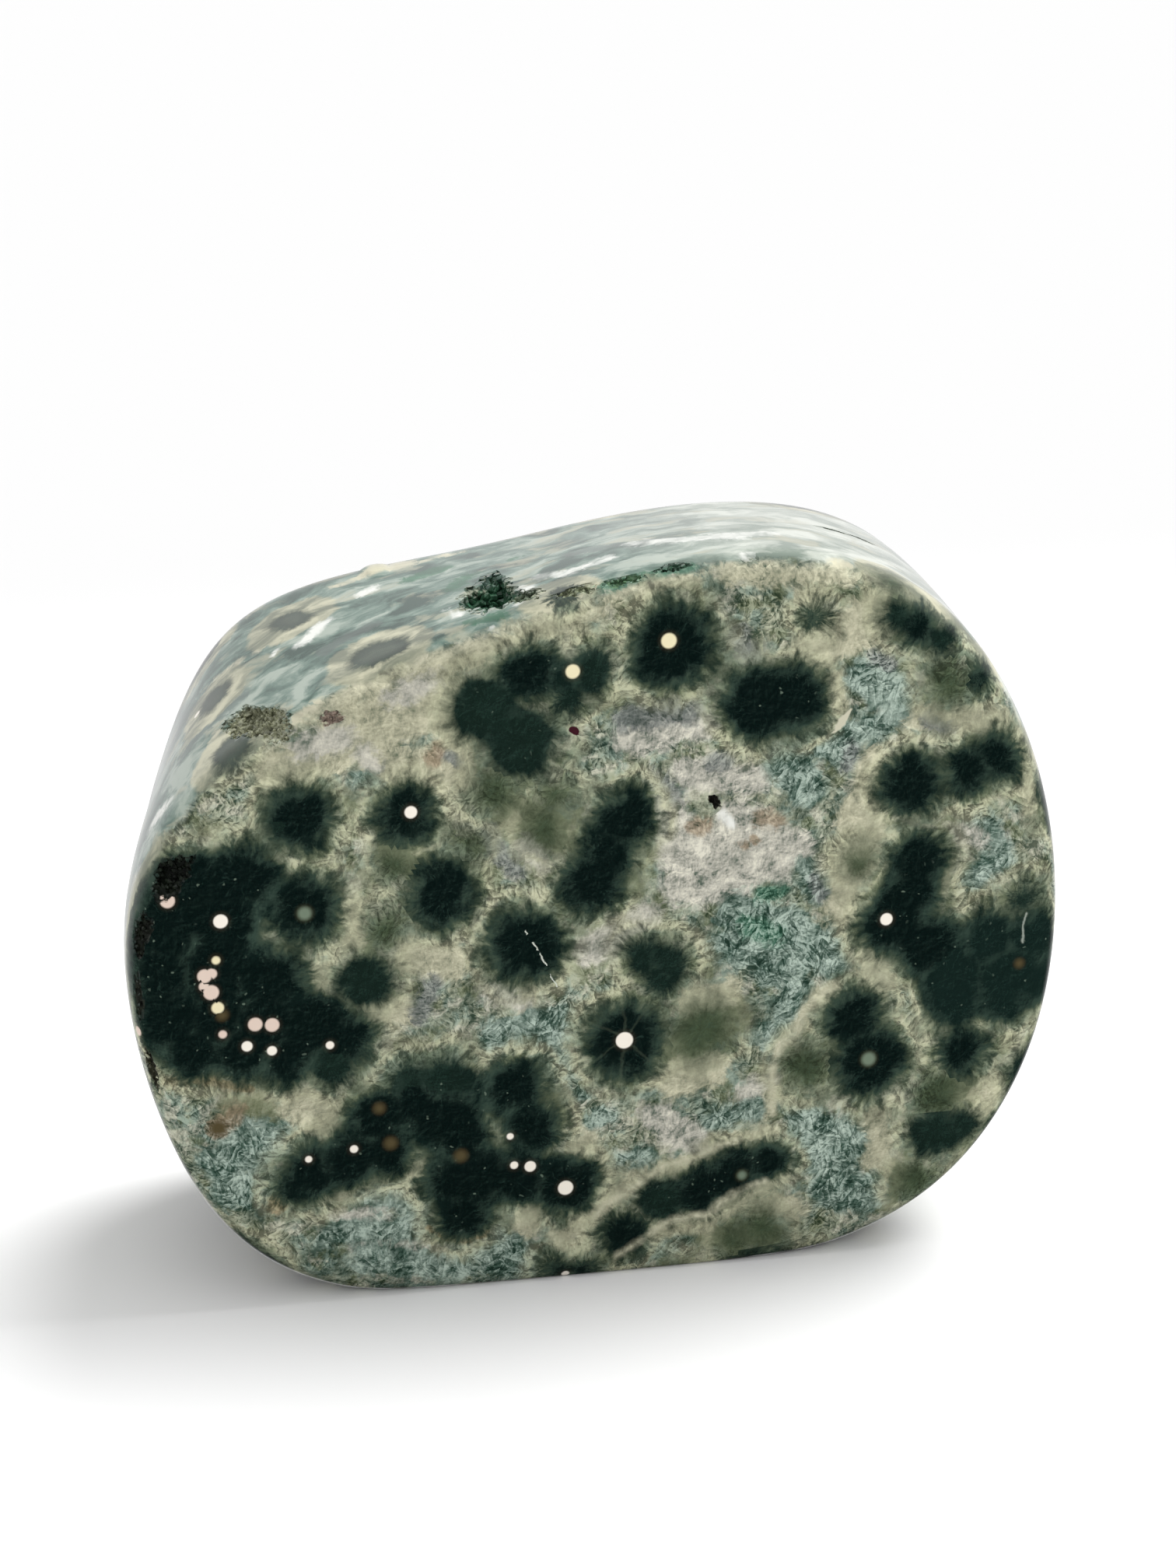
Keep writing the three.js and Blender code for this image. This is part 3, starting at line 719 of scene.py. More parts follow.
# Zones of the rock between the orbs. Each stroke runs from x, z to x, z on the front face and has a
# half width.
ZONES = {
    "cream": [
        (-34, 58.5, -27, 60.5, 2.2), (-27, 62.5, -17, 64.5, 3), (-24, 58.5, -17.5, 57.5, 2.2),
        (-16.5, 62, -15.5, 57, 1.6), (-27, 43.8, -26.8, 40, 1.3), (-30.5, 37.5, -30.2, 35.5, 1),
        (-24.5, 32.8, -22, 32, 1.7), (-32.8, 23.2, -30.5, 21, 2.2), (-28, 14.5, -21, 14.3, 0.9),
        (-19.2, 15, -18.6, 12.6, 0.9), (-30, 12.3, -26.5, 12.6, 0.8), (-2.5, 16.2, -3.3, 14.8, 1.4),
        (-1.2, 13.5, -0.9, 12, 0.9), (2, 11, -2.5, 7.5, 1.1), (-2.5, 7.5, -5.5, 5, 1.3),
        (-8.5, 9, -9.5, 6.5, 1.4), (0.8, 2.6, 5.2, 5, 0.9), (5.2, 5, 10.2, 5.4, 1),
        (10.2, 5.4, 14.5, 8, 1), (14.5, 8, 18.5, 9.8, 0.9), (16, 6.8, 20, 6.2, 1.3),
        (4, 11.6, 8, 12.6, 0.9), (8, 12.6, 12.3, 14.6, 1), (12.3, 14.6, 17, 15.2, 0.9),
        (23.3, 31, 20.5, 28.8, 0.9), (20.5, 28.8, 19.6, 26.6, 0.9), (19.6, 26.6, 17.6, 24.8, 0.9),
        (17.6, 24.8, 17, 22, 0.9), (17, 22, 17, 17.6, 0.9), (27.5, 34, 28.5, 31, 1.7),
        (26.7, 56, 26, 52.5, 1.4), (26, 52.5, 24.5, 49, 1.3), (27.3, 50, 26, 45, 1.7),
        (24.3, 45, 24.2, 39, 1.6), (35.8, 44.2, 35, 41, 0.8), (21, 68, 27, 71, 2.6),
        (23.4, 62, 22.8, 64.5, 1.3), (30, 60, 41, 59, 1.5), (42.5, 57, 44.6, 50, 1.2),
        (28.5, 15.5, 28.5, 11, 1.7), (41.5, 18.5, 41, 13.5, 1.4), (47.5, 44, 48, 37, 0.8),
        (-10, 28, -9, 33, 1.2), (-21, 38, -17, 37, 2), (8, 30.5, 12, 31.5, 1.6), (6.5, 22, 10, 23, 2.2),
        (19, 73.4, 21, 73.3, 0.9),
    ],
    "olive": [
        (-10, 52.5, -6, 50, 2.2), (25.6, 44.8, 26, 46, 1.4), (-39, 22.8, -36.5, 22, 2.2),
        (37, 18, 41, 18, 1.8), (29.5, 6, 31, 9, 1.8), (7, 25, 12, 29.5, 2.4), (-20, 48, -23, 50, 1.6),
        (10, 4, 17, 3, 1.3), (-7, 22, -6, 19, 1.3),
    ],
    "teal": [
        (-12, 28.5, -6, 29.5, 2.2), (-7.5, 26, -5.5, 24, 1.8), (-3.3, 21.5, -3, 21.5, 0.9),
        (13, 40, 19, 37.5, 2.6), (12, 37, 16, 35, 1.8), (17, 34, 20, 35.5, 2.6),
        (22, 36, 23.5, 33.5, 1.8), (19, 31, 18.5, 27.5, 1.8), (16.5, 27, 17, 23.5, 1.2),
        (17.5, 56.5, 20, 53.5, 2.2), (20.5, 58, 24, 57, 1.8), (21, 15.5, 25.5, 13, 2.4),
        (21.5, 12, 25, 10.5, 2), (24, 8, 28, 7, 2.4), (26, 64.5, 29.5, 62, 2.2),
        (24, 58.5, 29, 60, 1.6), (-41, 17, -36, 19, 2.4), (-40, 14, -36.5, 14, 2.4),
        (-41.5, 20.5, -38, 21, 1.2), (-30, 8, -20, 8, 1.5), (-26, 5, -16, 3, 1.8),
        (-26.5, 11.6, -20, 10.6, 1.1), (-24, 25.6, -17, 26.2, 1.2), (3.5, 2.3, 8, 3.2, 1.1),
        (-12, 5.5, -9.5, 3.5, 1.6), (-16, 4, -10, 1.8, 1.6), (-1.3, 18.5, -1, 18.5, 1.4),
        (0.5, 13.7, 3.5, 14, 1), (20, 44.5, 21.5, 42, 1.2), (10.5, 17, 15, 18, 1.2),
        (-26, 57.3, -24, 56.8, 0.9), (38, 42, 41.5, 44, 1.5), (39.5, 48.5, 41.5, 45, 1.1),
    ],
    "pale": [
        (5.5, 52, 7, 47, 2.2), (9, 47, 14, 45, 3), (13, 50, 18, 47, 2.4), (7, 43.5, 13, 42.5, 2),
        (17, 44.5, 19.5, 47, 1.7), (14.5, 54.5, 8, 55.5, 1.8), (1.5, 59.5, 9, 60.5, 1.6),
        (-2.5, 37.5, 3, 40.5, 1.7), (4.5, 18, 9, 15, 1.9), (37, 47, 41, 46.4, 1.1),
        (28.8, 61, 27.5, 62, 1.2), (-25.5, 60, -24, 58, 1), (-39.8, 26.1, -39.2, 26.2, 0.8),
        (-31.5, 61, -27.5, 61.8, 1.3), (-27, 6.5, -17, 4.5, 1.1), (-29, 10, -24, 9, 0.9),
        (-22.5, 65.5, -18, 66.8, 1), (-9, 49, -7.5, 47, 1.2), (-13, 33.5, -10, 32, 1.3),
        (-23, 11, -27, 10, 0.9), (14, 20, 16.5, 21, 1.1),
    ],
    "slate": [
        (1, 61.8, 8, 62, 1.3), (3.5, 55.5, 6.5, 53.5, 1.1), (10.6, 56.6, 11.8, 56.6, 1),
        (-13, 50.8, -11.6, 48, 0.8), (-11.6, 48, -9.8, 46.4, 0.9), (-17.5, 59.6, -15.5, 58, 0.6),
        (33, 59.5, 35, 58.5, 0.9), (27, 66.5, 28.5, 66, 0.8), (12.6, 69.5, 14.5, 67.5, 1.2),
        (24.5, 55, 24.8, 57, 0.8), (21, 43.5, 22, 41.5, 0.7), (-20, 32, -19, 34.5, 1.2),
    ],
    "rust": [
        (-45.8, 26.4, -42.3, 26.8, 0.7), (-42, 26.3, -38, 25, 0.6), (-35.5, 11.9, -35.4, 11.9, 0.9),
        (-19.5, 7.8, -17.8, 6.3, 0.35), (-17.8, 6.3, -15.5, 5.8, 0.35), (-15.5, 5.8, -13.2, 6.6, 0.35),
    ],
    "tan": [
        (8.6, 49.7, 9.3, 49.9, 0.9), (15.4, 50.2, 17.6, 49.8, 0.9), (13.2, 47.6, 13.8, 47.2, 0.5),
        (-18.6, 58.8, -17.8, 60, 0.8), (-41, 21, -39, 23, 1), (14.5, 48.2, 15, 47.8, 0.3),
    ],
    "white": [
        (11.3, 50.9, 12.4, 49.8, 0.45),
    ],
    "dark": [
        (-46, 47, -37, 46, 3.2), (-47, 42, -39, 41, 3.4), (-47, 37, -38, 36, 3.6),
        (-46, 32, -31, 31, 3.2), (-43, 29.5, -30, 28.5, 2), (35, 34, 46, 33, 3.2), (36, 30, 46, 30, 3),
        (31.5, 42, 30.5, 38, 2.6), (-31, 15, -24, 18, 2), (-25, 20, -17, 22, 2.4),
        (-18, 19, -14, 12, 2.6), (-14, 13, -5, 12, 2.2), (-16, 12, -15.5, 9, 2),
        (-21, 23, -11, 22.5, 2), (-11, 22, -9, 17, 1.8), (15, 62.5, 18, 62.6, 2.6),
        (5, 8.4, 17, 11.8, 1.4), (-13.2, 63.8, -9.3, 59.8, 1.8), (-9.5, 67.2, -2.5, 67.2, 1.3),
    ],
    "green": [
        (15.5, 42.2, 17, 42, 1.2), (14.3, 38.4, 17, 37.4, 1.2),
    ],
}
# The same on the band, with x, y and z at each end.
BAND_ZONES = {
    "cream": [
        (-13, -18.6, 70, -1, -19.2, 73, 1.1), (-22, -17.8, 67, -14, -18.7, 69, 1.6),
        (-31, -18.2, 64, -22, -18.2, 67, 1.4), (-41, -14.5, 57.5, -39, -9.5, 60, 0.8),
        (-26, 4, 68, -33, 2.5, 65, 0.9), (-38, 3.5, 61.5, -35, 2.5, 64, 0.8),
        (0.5, -18.6, 74.5, 9, -19, 76, 0.8), (-18.6, 13, 70, -16, 13, 70.5, 1.6),
        (-24, 11, 69.5, -10, 13, 72, 0.8), (11, -18.7, 76, 24, -18.5, 75, 1.2),
        (24, -17, 75, 34, -17, 71, 1.3),
    ],
    "white": [
        (-5, -8, 74, -2.8, -10, 74.5, 0.9), (-2.8, -10, 74.5, 2, -9, 75.2, 0.9),
        (5.5, -6, 76, 9.9, -8.6, 76.8, 1.2), (9.9, -8.6, 76.8, 15, -9.8, 77.3, 1.4),
        (15, -9.8, 77.3, 19, -8.7, 77.3, 1.1), (14.2, -16.8, 76.9, 14.8, -16.8, 76.9, 0.6),
        (-26, 1, 68, -29, -2.5, 66.5, 0.8), (-21.5, 5, 69.7, -20, 6, 70, 0.9),
        (-31.5, -1, 65.5, -32, -1.5, 65, 0.5), (-45.5, -11.5, 50.5, -44, -12.5, 53, 1),
        (-46.6, -14.5, 47.5, -47.3, -15, 45, 0.8), (-12, -17.2, 71, -11.5, -17.3, 71, 0.3),
        (-7.5, -9.5, 73, -6.2, -12.5, 73.6, 0.8), (-14.8, -8.5, 70.6, -14.2, -11.5, 70.9, 0.6),
        (-8.5, -14.6, 72.8, -6.5, -15, 73.3, 0.6),
    ],
    "slate": [
        (-1, -3, 75, 3, -4, 75.8, 1.3), (-27, -7, 67, -22, -5, 69, 1),
        (-42, -6, 57, -36, -6, 62, 1.2),
    ],
    "green": [
        (-16, 6, 71, -13, 7, 72, 1.3), (-6, 3, 73.3, -2, 3.5, 74.4, 0.6),
        (-3.8, -15.8, 74, 0.4, -17.2, 75, 0.8), (0.4, -17.2, 75, 4.3, -17.3, 76, 0.6),
        (4.3, -17.2, 76, 8.5, -17.5, 76.6, 0.6), (-13.5, -15, 71, -10.2, -15.8, 72, 0.9),
        (-13, -2, 71.8, -11, 1, 72.3, 1.2),
    ],
}
STROKE_BLUR = 1.1


def stroke_mask(places, start, end, half_width):
    """1 well inside the stroke, 0.5 at its edge and 0 outside it."""
    start, end = np.array(start, float), np.array(end, float)
    run = end - start
    share = np.clip((places - start) @ run / max(run @ run, 1e-9), 0, 1)
    away = np.linalg.norm(places - start - share[:, None] * run, axis=1)
    blur = min(STROKE_BLUR, half_width)
    return np.clip(0.5 - (away - half_width) / (2 * blur), 0, 1)


places = vertex_places(stone_mesh)
zone_masks = {name: np.zeros(len(places)) for name in ZONES}
for name, strokes in ZONES.items():
    for x1, z1, x2, z2, half_width in strokes:
        mask = stroke_mask(places, on_skin(x1, z1), on_skin(x2, z2), half_width)
        zone_masks[name] = np.maximum(zone_masks[name], mask)
for name, strokes in BAND_ZONES.items():
    for *ends, half_width in strokes:
        mask = stroke_mask(places, ends[:3], ends[3:], half_width)
        zone_masks[name] = np.maximum(zone_masks[name], mask)
# Where the photo shows nothing, broad noise decides the zones.
unseen = np.clip((((-normals) * to_camera).sum(1) + 0.1) / 0.3, 0, 1)
for shift, name in enumerate(("cream", "teal", "pale", "slate", "olive")):
    field = np.array([noise.noise(Vector(p) * 0.11 + Vector((0, 0, 40 * shift))) for p in places])
    zone_masks[name] = np.maximum(zone_masks[name], unseen * np.clip(0.5 + (field - 0.18) * 4, 0, 1))
# The band has a look of its own behind the front edge and above the lower part of the sides. It turns
# paler to the right of the middle.
BAND_FRONT = -18.2
BAND_FOOT = 30
PALE_FROM = 3
band = np.clip((places[:, 1] - BAND_FRONT) / 1.6, 0, 1) * np.clip((places[:, 2] - BAND_FOOT) / 14, 0, 1)
zone_masks["band"] = band * (1 - unseen)
zone_masks["pale band"] = np.clip((places[:, 0] - PALE_FROM) / 15, 0, 1) * zone_masks["band"]
for name, mask in zone_masks.items():
    layer = stone_mesh.attributes.new("zone " + name, "FLOAT", "POINT")
    layer.data.foreach_set("value", mask.astype(np.float32))

# The jasper's look: fibres round each orb, shards and felt between them with painted shade and highlights,
# polished like glass.
jasper.use_nodes = True
tree = jasper.node_tree
shader = tree.nodes["Principled BSDF"]


def plug(socket, value):
    if isinstance(value, bpy.types.NodeSocket):
        tree.links.new(value, socket)
    elif isinstance(value, tuple) and socket.type == "RGBA":
        socket.default_value = (*value, 1)
    else:
        socket.default_value = value


def maths(operation, *values, clamp=False):
    node = tree.nodes.new("ShaderNodeMath")
    node.operation = operation
    node.use_clamp = clamp
    for socket, value in zip(node.inputs, values):
        plug(socket, value)
    return node.outputs[0]


def times(*values, **how):
    return maths("MULTIPLY", *values, **how)


def plus(*values, **how):
    return maths("ADD", *values, **how)


def minus(*values):
    return maths("SUBTRACT", *values)


def fitted(value, by, more):
    return maths("MULTIPLY_ADD", value, by, more)


def swing(value, share):
    """A value from 0 to 1 made to swing that much about 0."""
    return times(minus(value, 0.5), share)


def vectors(operation, *values, scale=None):
    node = tree.nodes.new("ShaderNodeVectorMath")
    node.operation = operation
    for socket, value in zip(node.inputs, values):
        plug(socket, value)
    if scale is not None:
        plug(node.inputs["Scale"], scale)
    is_number = operation in ("LENGTH", "DISTANCE", "DOT_PRODUCT")
    return node.outputs["Value" if is_number else "Vector"]


def moved(point, by, share):
    return vectors("ADD", point, vectors("SCALE", by, scale=share))


def blend(share, a, b, how="MIX"):
    node = tree.nodes.new("ShaderNodeMix")
    node.data_type = "RGBA"
    node.blend_type = how
    plug(node.inputs["Factor"], share)
    plug(node.inputs[6], a)
    plug(node.inputs[7], b)
    return node.outputs[2]


def shaded(a, b):
    return blend(1, a, b, "MULTIPLY")


def ramp(value, low, high, to_low=0, to_high=1):
    node = tree.nodes.new("ShaderNodeMapRange")
    node.interpolation_type = "SMOOTHSTEP"
    names = ("Value", "From Min", "From Max", "To Min", "To Max")
    for name, setting in zip(names, (value, low, high, to_low, to_high)):
        plug(node.inputs[name], setting)
    return node.outputs["Result"]


def cloud(point, pitch, detail, roughness=0.5, w=None):
    node = tree.nodes.new("ShaderNodeTexNoise")
    if w is not None:
        node.noise_dimensions = "4D"
        plug(node.inputs["W"], w)
    plug(node.inputs["Vector"], point)
    node.inputs["Scale"].default_value = 1 / pitch
    node.inputs["Detail"].default_value = detail
    node.inputs["Roughness"].default_value = roughness
    return node


def haze(*place, **how):
    return cloud(*place, **how).outputs["Fac"]


def push(point, pitch, detail, roughness=0.5):
    """A cloud's colour as a push of up to half a unit to each side."""
    return vectors("SUBTRACT", cloud(point, pitch, detail, roughness).outputs["Color"], (0.5, 0.5, 0.5))


def cells(point, pitch):
    node = tree.nodes.new("ShaderNodeTexVoronoi")
    plug(node.inputs["Vector"], point)
    node.inputs["Scale"].default_value = 1 / pitch
    return node


def named(name, output="Fac"):
    node = tree.nodes.new("ShaderNodeAttribute")
    node.attribute_name = name
    return node.outputs[output]


coordinates = tree.nodes.new("ShaderNodeTexCoord")
here = vectors("SCALE", coordinates.outputs["Object"], scale=1 / MM)
broad = push(here, 4.5, 2)
fine = push(here, 1.1, 3, 0.6)
bent = moved(moved(here, broad, 2.4), fine, 0.8)

# Distances to the two orbs, with fibres fanning out from the nearer one.
orb_at = named("orb place", "Vector")
spoke = vectors("SUBTRACT", bent, orb_at)
reach = vectors("LENGTH", spoke)
depth_a = minus(reach, named("orb radius"))
next_reach = vectors("LENGTH", vectors("SUBTRACT", bent, named("next orb place", "Vector")))
depth_b = minus(next_reach, named("next orb radius"))
seed = vectors("DOT_PRODUCT", orb_at, (3.1, 1.7, 2.3))
heading = vectors("NORMALIZE", spoke)
fan = haze(heading, 0.19, 4, 0.58, w=plus(seed, times(reach, 0.12)))
alone = ramp(minus(depth_b, depth_a), 0, 1.6)
fibre = times(swing(fan, 2), alone)
softness = named("orb heart", "Alpha")
fibre = times(fibre, fitted(softness, -0.7, 1))
on_band = named("zone band")
depth = maths("SMOOTH_MIN", plus(depth_a, times(fibre, 1.1)), depth_b, 1.4)
grain = haze(here, 0.5, 3, 0.55)
mottle = haze(bent, 2.3, 3, 0.5)
depth = plus(depth, swing(grain, 0.2))
wander = swing(mottle, fitted(on_band, -1.2, 2))
depth = plus(depth, wander)
dark = named("zone dark")
inner_depth = minus(depth, times(dark, 0.6))
depth = minus(depth, fitted(dark, 1.8, 0.15))


def channel(colour, index=0):
    node = tree.nodes.new("ShaderNodeSeparateColor")
    plug(node.inputs[0], colour)
    return node.outputs[index]


# Crystals: clusters of flat-sided shards. Each cluster lies at its own angle, and each shard has a tone of
# its own
# and painted shade: lighter on one side and darker on the other, as if lit from one side.
FULL_TURN = 6.28


def crystals(point, cluster_pitch, width, length):
    cluster = cells(point, cluster_pitch)
    turned = tree.nodes.new("ShaderNodeVectorRotate")
    turned.rotation_type = "AXIS_ANGLE"
    plug(turned.inputs["Vector"], point)
    plug(turned.inputs["Center"], cluster.outputs["Position"])
    turned.inputs["Axis"].default_value = (0, 1, 0)
    plug(turned.inputs["Angle"], times(channel(cluster.outputs["Color"]), FULL_TURN))
    drawn = vectors("MULTIPLY", turned.outputs["Vector"], (1 / width, 1 / length, 1 / length))
    shard = cells(drawn, 1)
    across = vectors("SUBTRACT", drawn, shard.outputs["Position"])
    # Painted shade: a ramp across each shard, lighter on one side and darker on the other.
    side = vectors("DOT_PRODUCT", across, (1.1, 0, 0.35))
    glow = swing(channel(shard.outputs["Color"], 2), 1.1)
    return shard.outputs["Color"], times(plus(side, glow), 0.6)


jagged = moved(here, broad, 1.2)
shard, shard_tone_and_painted_shade = crystals(moved(jagged, fine, 0.3), 1.7, 0.5, 1.35)
_, splinter_tone_and_painted_shade = crystals(moved(jagged, fine, 0.35), 1, 0.3, 0.75)
ragged = plus(swing(channel(shard, 1), 0.35), swing(haze(here, 2.4, 3, 0.55), 1.6))


def zone(name, low=0.2, high=0.8):
    mask = named("zone " + name)
    bell = times(times(mask, minus(1, mask)), 4)
    return ramp(fitted(ragged, bell, mask), low, high)


def straight(value, low, high, to_low=0, to_high=1):
    socket = ramp(value, low, high, to_low, to_high)
    socket.node.interpolation_type = "LINEAR"
    return socket


# The rock's own colours: patches of grey-green, teal, olive and cream, under the zones.
patches = cloud(here, 2.8, 4, 0.62).outputs["Color"]
shift = straight(haze(here, 5.5, 4, 0.6), 0.36, 0.64)
tint = blend(shift, (0.085, 0.128, 0.098), (0.275, 0.29, 0.205))
tint = blend(times(ramp(channel(patches), 0.49, 0.6), 0.75), tint, (0.14, 0.20, 0.165))
tint = blend(times(ramp(channel(patches, 1), 0.5, 0.61), 0.7), tint, (0.105, 0.125, 0.062))
tint = blend(times(ramp(channel(patches, 2), 0.52, 0.62), 0.6), tint, (0.42, 0.41, 0.33))
patchy = straight(haze(here, 2.2, 3, 0.55), 0.4, 0.62)
patchy = blend(patchy, (0.065, 0.115, 0.088), (0.25, 0.32, 0.27))
for name, colour, strength in (
    ("olive", (0.13, 0.145, 0.078), 0.85),
    ("cream", (0.41, 0.40, 0.285), 0.95),
    ("pale", (0.43, 0.42, 0.36), 1),
    ("teal", patchy, 1),
    ("slate", (0.15, 0.165, 0.155), 0.9),
    ("green", (0.06, 0.16, 0.105), 0.9),
    ("tan", (0.26, 0.20, 0.13), 0.8),
    ("rust", (0.20, 0.11, 0.045), 0.9),
):
    tint = blend(times(zone(name), strength), tint, colour)

# Painted shade and highlights of a relief that the polished face doesn't have: a fine noise less the same
# noise sampled a little to the left and up, as if lit from one side.
rough = haze(jagged, 1.3, 5, 0.68)
beside = haze(vectors("ADD", jagged, (-0.13, 0, 0.16)), 1.3, 5, 0.68)
painted_emboss_shade = minus(rough, beside)
felt = haze(moved(here, push(here, 2.6, 2), 5), 1.5, 4, 0.55)
slow = haze(here, 5, 2)
crisp = straight(slow, 0.36, 0.62, 0.15, 1)
soft_places = maths("MAXIMUM", named("zone cream"), named("zone olive"))
crisp = times(crisp, minus(1, times(soft_places, 0.7)))
crisp = maths("MAXIMUM", crisp, times(named("zone teal"), 0.85))
crisp = times(crisp, minus(1, times(named("zone pale"), 0.7)))
near_orb = ramp(depth, 1, 5, 1, 0)
tone = plus(0.5, swing(mottle, 1.4))
tone = plus(tone, times(fibre, fitted(near_orb, 1.5, 0.5)))
# Felt, with the painted shade and highlights of the relief.
felt_and_painted_shade = plus(swing(felt, 1.3), times(painted_emboss_shade, 2.2))
tone = plus(tone, times(felt_and_painted_shade, fitted(near_orb, -0.5, 1)))
# The shards' own tones and their painted shade, where the crystals are crisp.
for value, share in ((shard_tone_and_painted_shade, 1), (splinter_tone_and_painted_shade, 0.8)):
    tone = plus(tone, times(times(value, share), crisp))
tone = plus(tone, swing(grain, 0.3))
tone = plus(0.5, swing(tone, fitted(soft_places, -0.35, 1)))
# The dark and light ends of the tone, which holds the rock's own grain and the painted shade and highlights
# of the shards and the relief.
shadow = shaded(tint, (0.20, 0.28, 0.25))
glint = blend(1, shaded(tint, (1.45, 1.42, 1.38)), (0.11, 0.115, 0.10), "ADD")
glint = blend(times(named("zone teal"), 0.35), glint, (0.52, 0.62, 0.56))
rock = blend(straight(tone, -0.05, 0.5), shadow, tint)
rock = blend(straight(tone, 0.5, 1.05), rock, glint)

# The band round the stone is cut across the layers: smooth drifts of teal, grey and white.
swayed = moved(bent, push(here, 9, 2), 9)
drift = cloud(vectors("MULTIPLY", swayed, (0.36, 0.7, 0.6)), 2.7, 5, 0.5)
wisp = haze(vectors("MULTIPLY", swayed, (0.28, 0.9, 0.55)), 0.8, 4, 0.6)
deep_band = blend(named("zone pale band"), (0.035, 0.07, 0.055), (0.20, 0.25, 0.205))
mid_band = blend(named("zone pale band"), (0.125, 0.195, 0.16), (0.40, 0.44, 0.38))
light_band = blend(named("zone pale band"), (0.36, 0.42, 0.36), (0.62, 0.65, 0.58))
band_tone = plus(drift.outputs["Fac"], swing(wisp, 0.32))
band = blend(straight(band_tone, 0.36, 0.5), deep_band, mid_band)
band = blend(straight(band_tone, 0.5, 0.64), band, light_band)
band = blend(times(ramp(channel(drift.outputs["Color"], 1), 0.54, 0.66), 0.6), band, (0.42, 0.41, 0.30))
band_colours = {"cream": (0.52, 0.50, 0.37), "slate": (0.12, 0.16, 0.14), "green": (0.04, 0.13, 0.075)}
for name, colour in band_colours.items():
    band = blend(zone(name), band, shaded(colour, straight(band_tone, 0.3, 0.7, 0.6, 1.35)))
wet = zone("band")
rock = blend(wet, rock, band)
whitish = times(zone("white", 0.15, 0.9), straight(band_tone, 0.32, 0.54, 0.3, 1))
rock = blend(whitish, rock, (0.80, 0.81, 0.76))

# The orbs: near-black green hearts, an olive edge and a cream halo that fades into the rock.
heart = named("orb heart", "Color")
crease = haze(heading, 0.45, 1, 0.5, w=plus(seed, 7))
hair = times(ramp(maths("ABSOLUTE", minus(crease, 0.5)), 0, 0.012, 1, 0), alone)
veil_and_painted_shade = plus(times(hair, 0.3), times(ramp(fibre, 0.1, 0.7), 0.25))
veil_and_painted_shade = plus(veil_and_painted_shade, times(ramp(grain, 0.55, 0.8), 0.15))
# The hearts take the painted shade and highlights of the relief too.
veil_and_painted_shade = plus(veil_and_painted_shade, times(painted_emboss_shade, 1.6), clamp=True)
heart = blend(veil_and_painted_shade, heart, (0.028, 0.058, 0.045))
heart_shade = blend(wet, straight(tone, 0, 1, 0.55, 1.6), straight(band_tone, 0.35, 0.65, 0.6, 2.2))
heart = shaded(heart, blend(softness, (1, 1, 1), heart_shade))
# The dark masses: mottle with the painted shade and highlights of the relief.
mass_tone_and_painted_shade = straight(fitted(painted_emboss_shade, 0.9, mottle), 0.36, 0.66)
mass = blend(mass_tone_and_painted_shade, (0.005, 0.015, 0.012), (0.034, 0.06, 0.045))
comb = straight(fan, 0.34, 0.68)
olive = blend(comb, (0.022, 0.040, 0.026), (0.088, 0.110, 0.064))
soft_olive = blend(straight(tone, -0.1, 1.1), (0.026, 0.046, 0.028), (0.085, 0.105, 0.058))
olive = blend(times(softness, 0.8), olive, soft_olive)
firm = minus(1, softness)
orb = blend(times(ramp(inner_depth, -1.9, -0.2), firm), heart, mass)
flecks = cells(bent, 0.8)
fleck = ramp(flecks.outputs["Distance"], 0.1, 0.2, 1, 0)
fleck = times(fleck, ramp(channel(flecks.outputs["Color"]), 0.68, 0.9))
orb = blend(times(fleck, fitted(dark, 0.5, 0.03)), orb, (0.19, 0.25, 0.19))
orb = blend(ramp(depth, -1.3, 0.9), orb, olive)
ring = times(ramp(depth, 0.5, 1.3), ramp(depth, 1.5, 2.9, 1, 0))
ring = times(ring, straight(slow, 0.36, 0.56, 0.1, 1))
ring = times(ring, minus(1, wet))
halo_tint = blend(0.4, tint, (0.22, 0.25, 0.16))
band_halo = blend(straight(band_tone, 0.4, 0.6), (0.22, 0.24, 0.17), (0.44, 0.43, 0.31))
halo_tint = blend(wet, halo_tint, band_halo)
halo_tint = blend(times(ring, 0.7), halo_tint, (0.42, 0.42, 0.285))
halo_shade = blend(wet, straight(tone, 0, 1, 0.4, 1.5), straight(band_tone, 0.3, 0.7, 0.7, 1.3))
halo_tint = shaded(halo_tint, halo_shade)
halo = blend(ramp(depth, fitted(wet, 0.9, 1.2), fitted(wet, -0.1, 3)), halo_tint, rock)
orb_in = fitted(wet, 0.3, fitted(softness, -1.7, -0.4))
orb_out = fitted(wet, -0.9, fitted(softness, 0.5, 1.5))
colour = blend(ramp(depth, orb_in, orb_out), orb, halo)

# Fine lines on the front face, finer than the mesh: hairline cracks, rays and outlines. Each runs from
# x, z to x, z and has a half width.
lined = vectors("MULTIPLY", moved(jagged, fine, 0.7), (1, 0, 1))
on_front = ramp(vectors("DOT_PRODUCT", here, (0, -1, 0)), 17, 18.5)


def line(x1, z1, x2, z2, half_width, blur=0.12, taper=0):
    start, run = Vector((x1, 0, z1)), Vector((x2 - x1, 0, z2 - z1))
    from_start = vectors("SUBTRACT", lined, tuple(start))
    share = times(vectors("DOT_PRODUCT", from_start, tuple(run)), 1 / run.length_squared, clamp=True)
    away = vectors("DISTANCE", from_start, vectors("SCALE", tuple(run), scale=share))
    if taper:
        away = fitted(share, taper, away)
    return times(on_front, ramp(away, half_width - blur, half_width + blur, 1, 0))


def lines(strokes, **how):
    mask = line(*strokes[0], **how)
    for stroke in strokes[1:]:
        mask = maths("MAXIMUM", mask, line(*stroke, **how))
    return mask


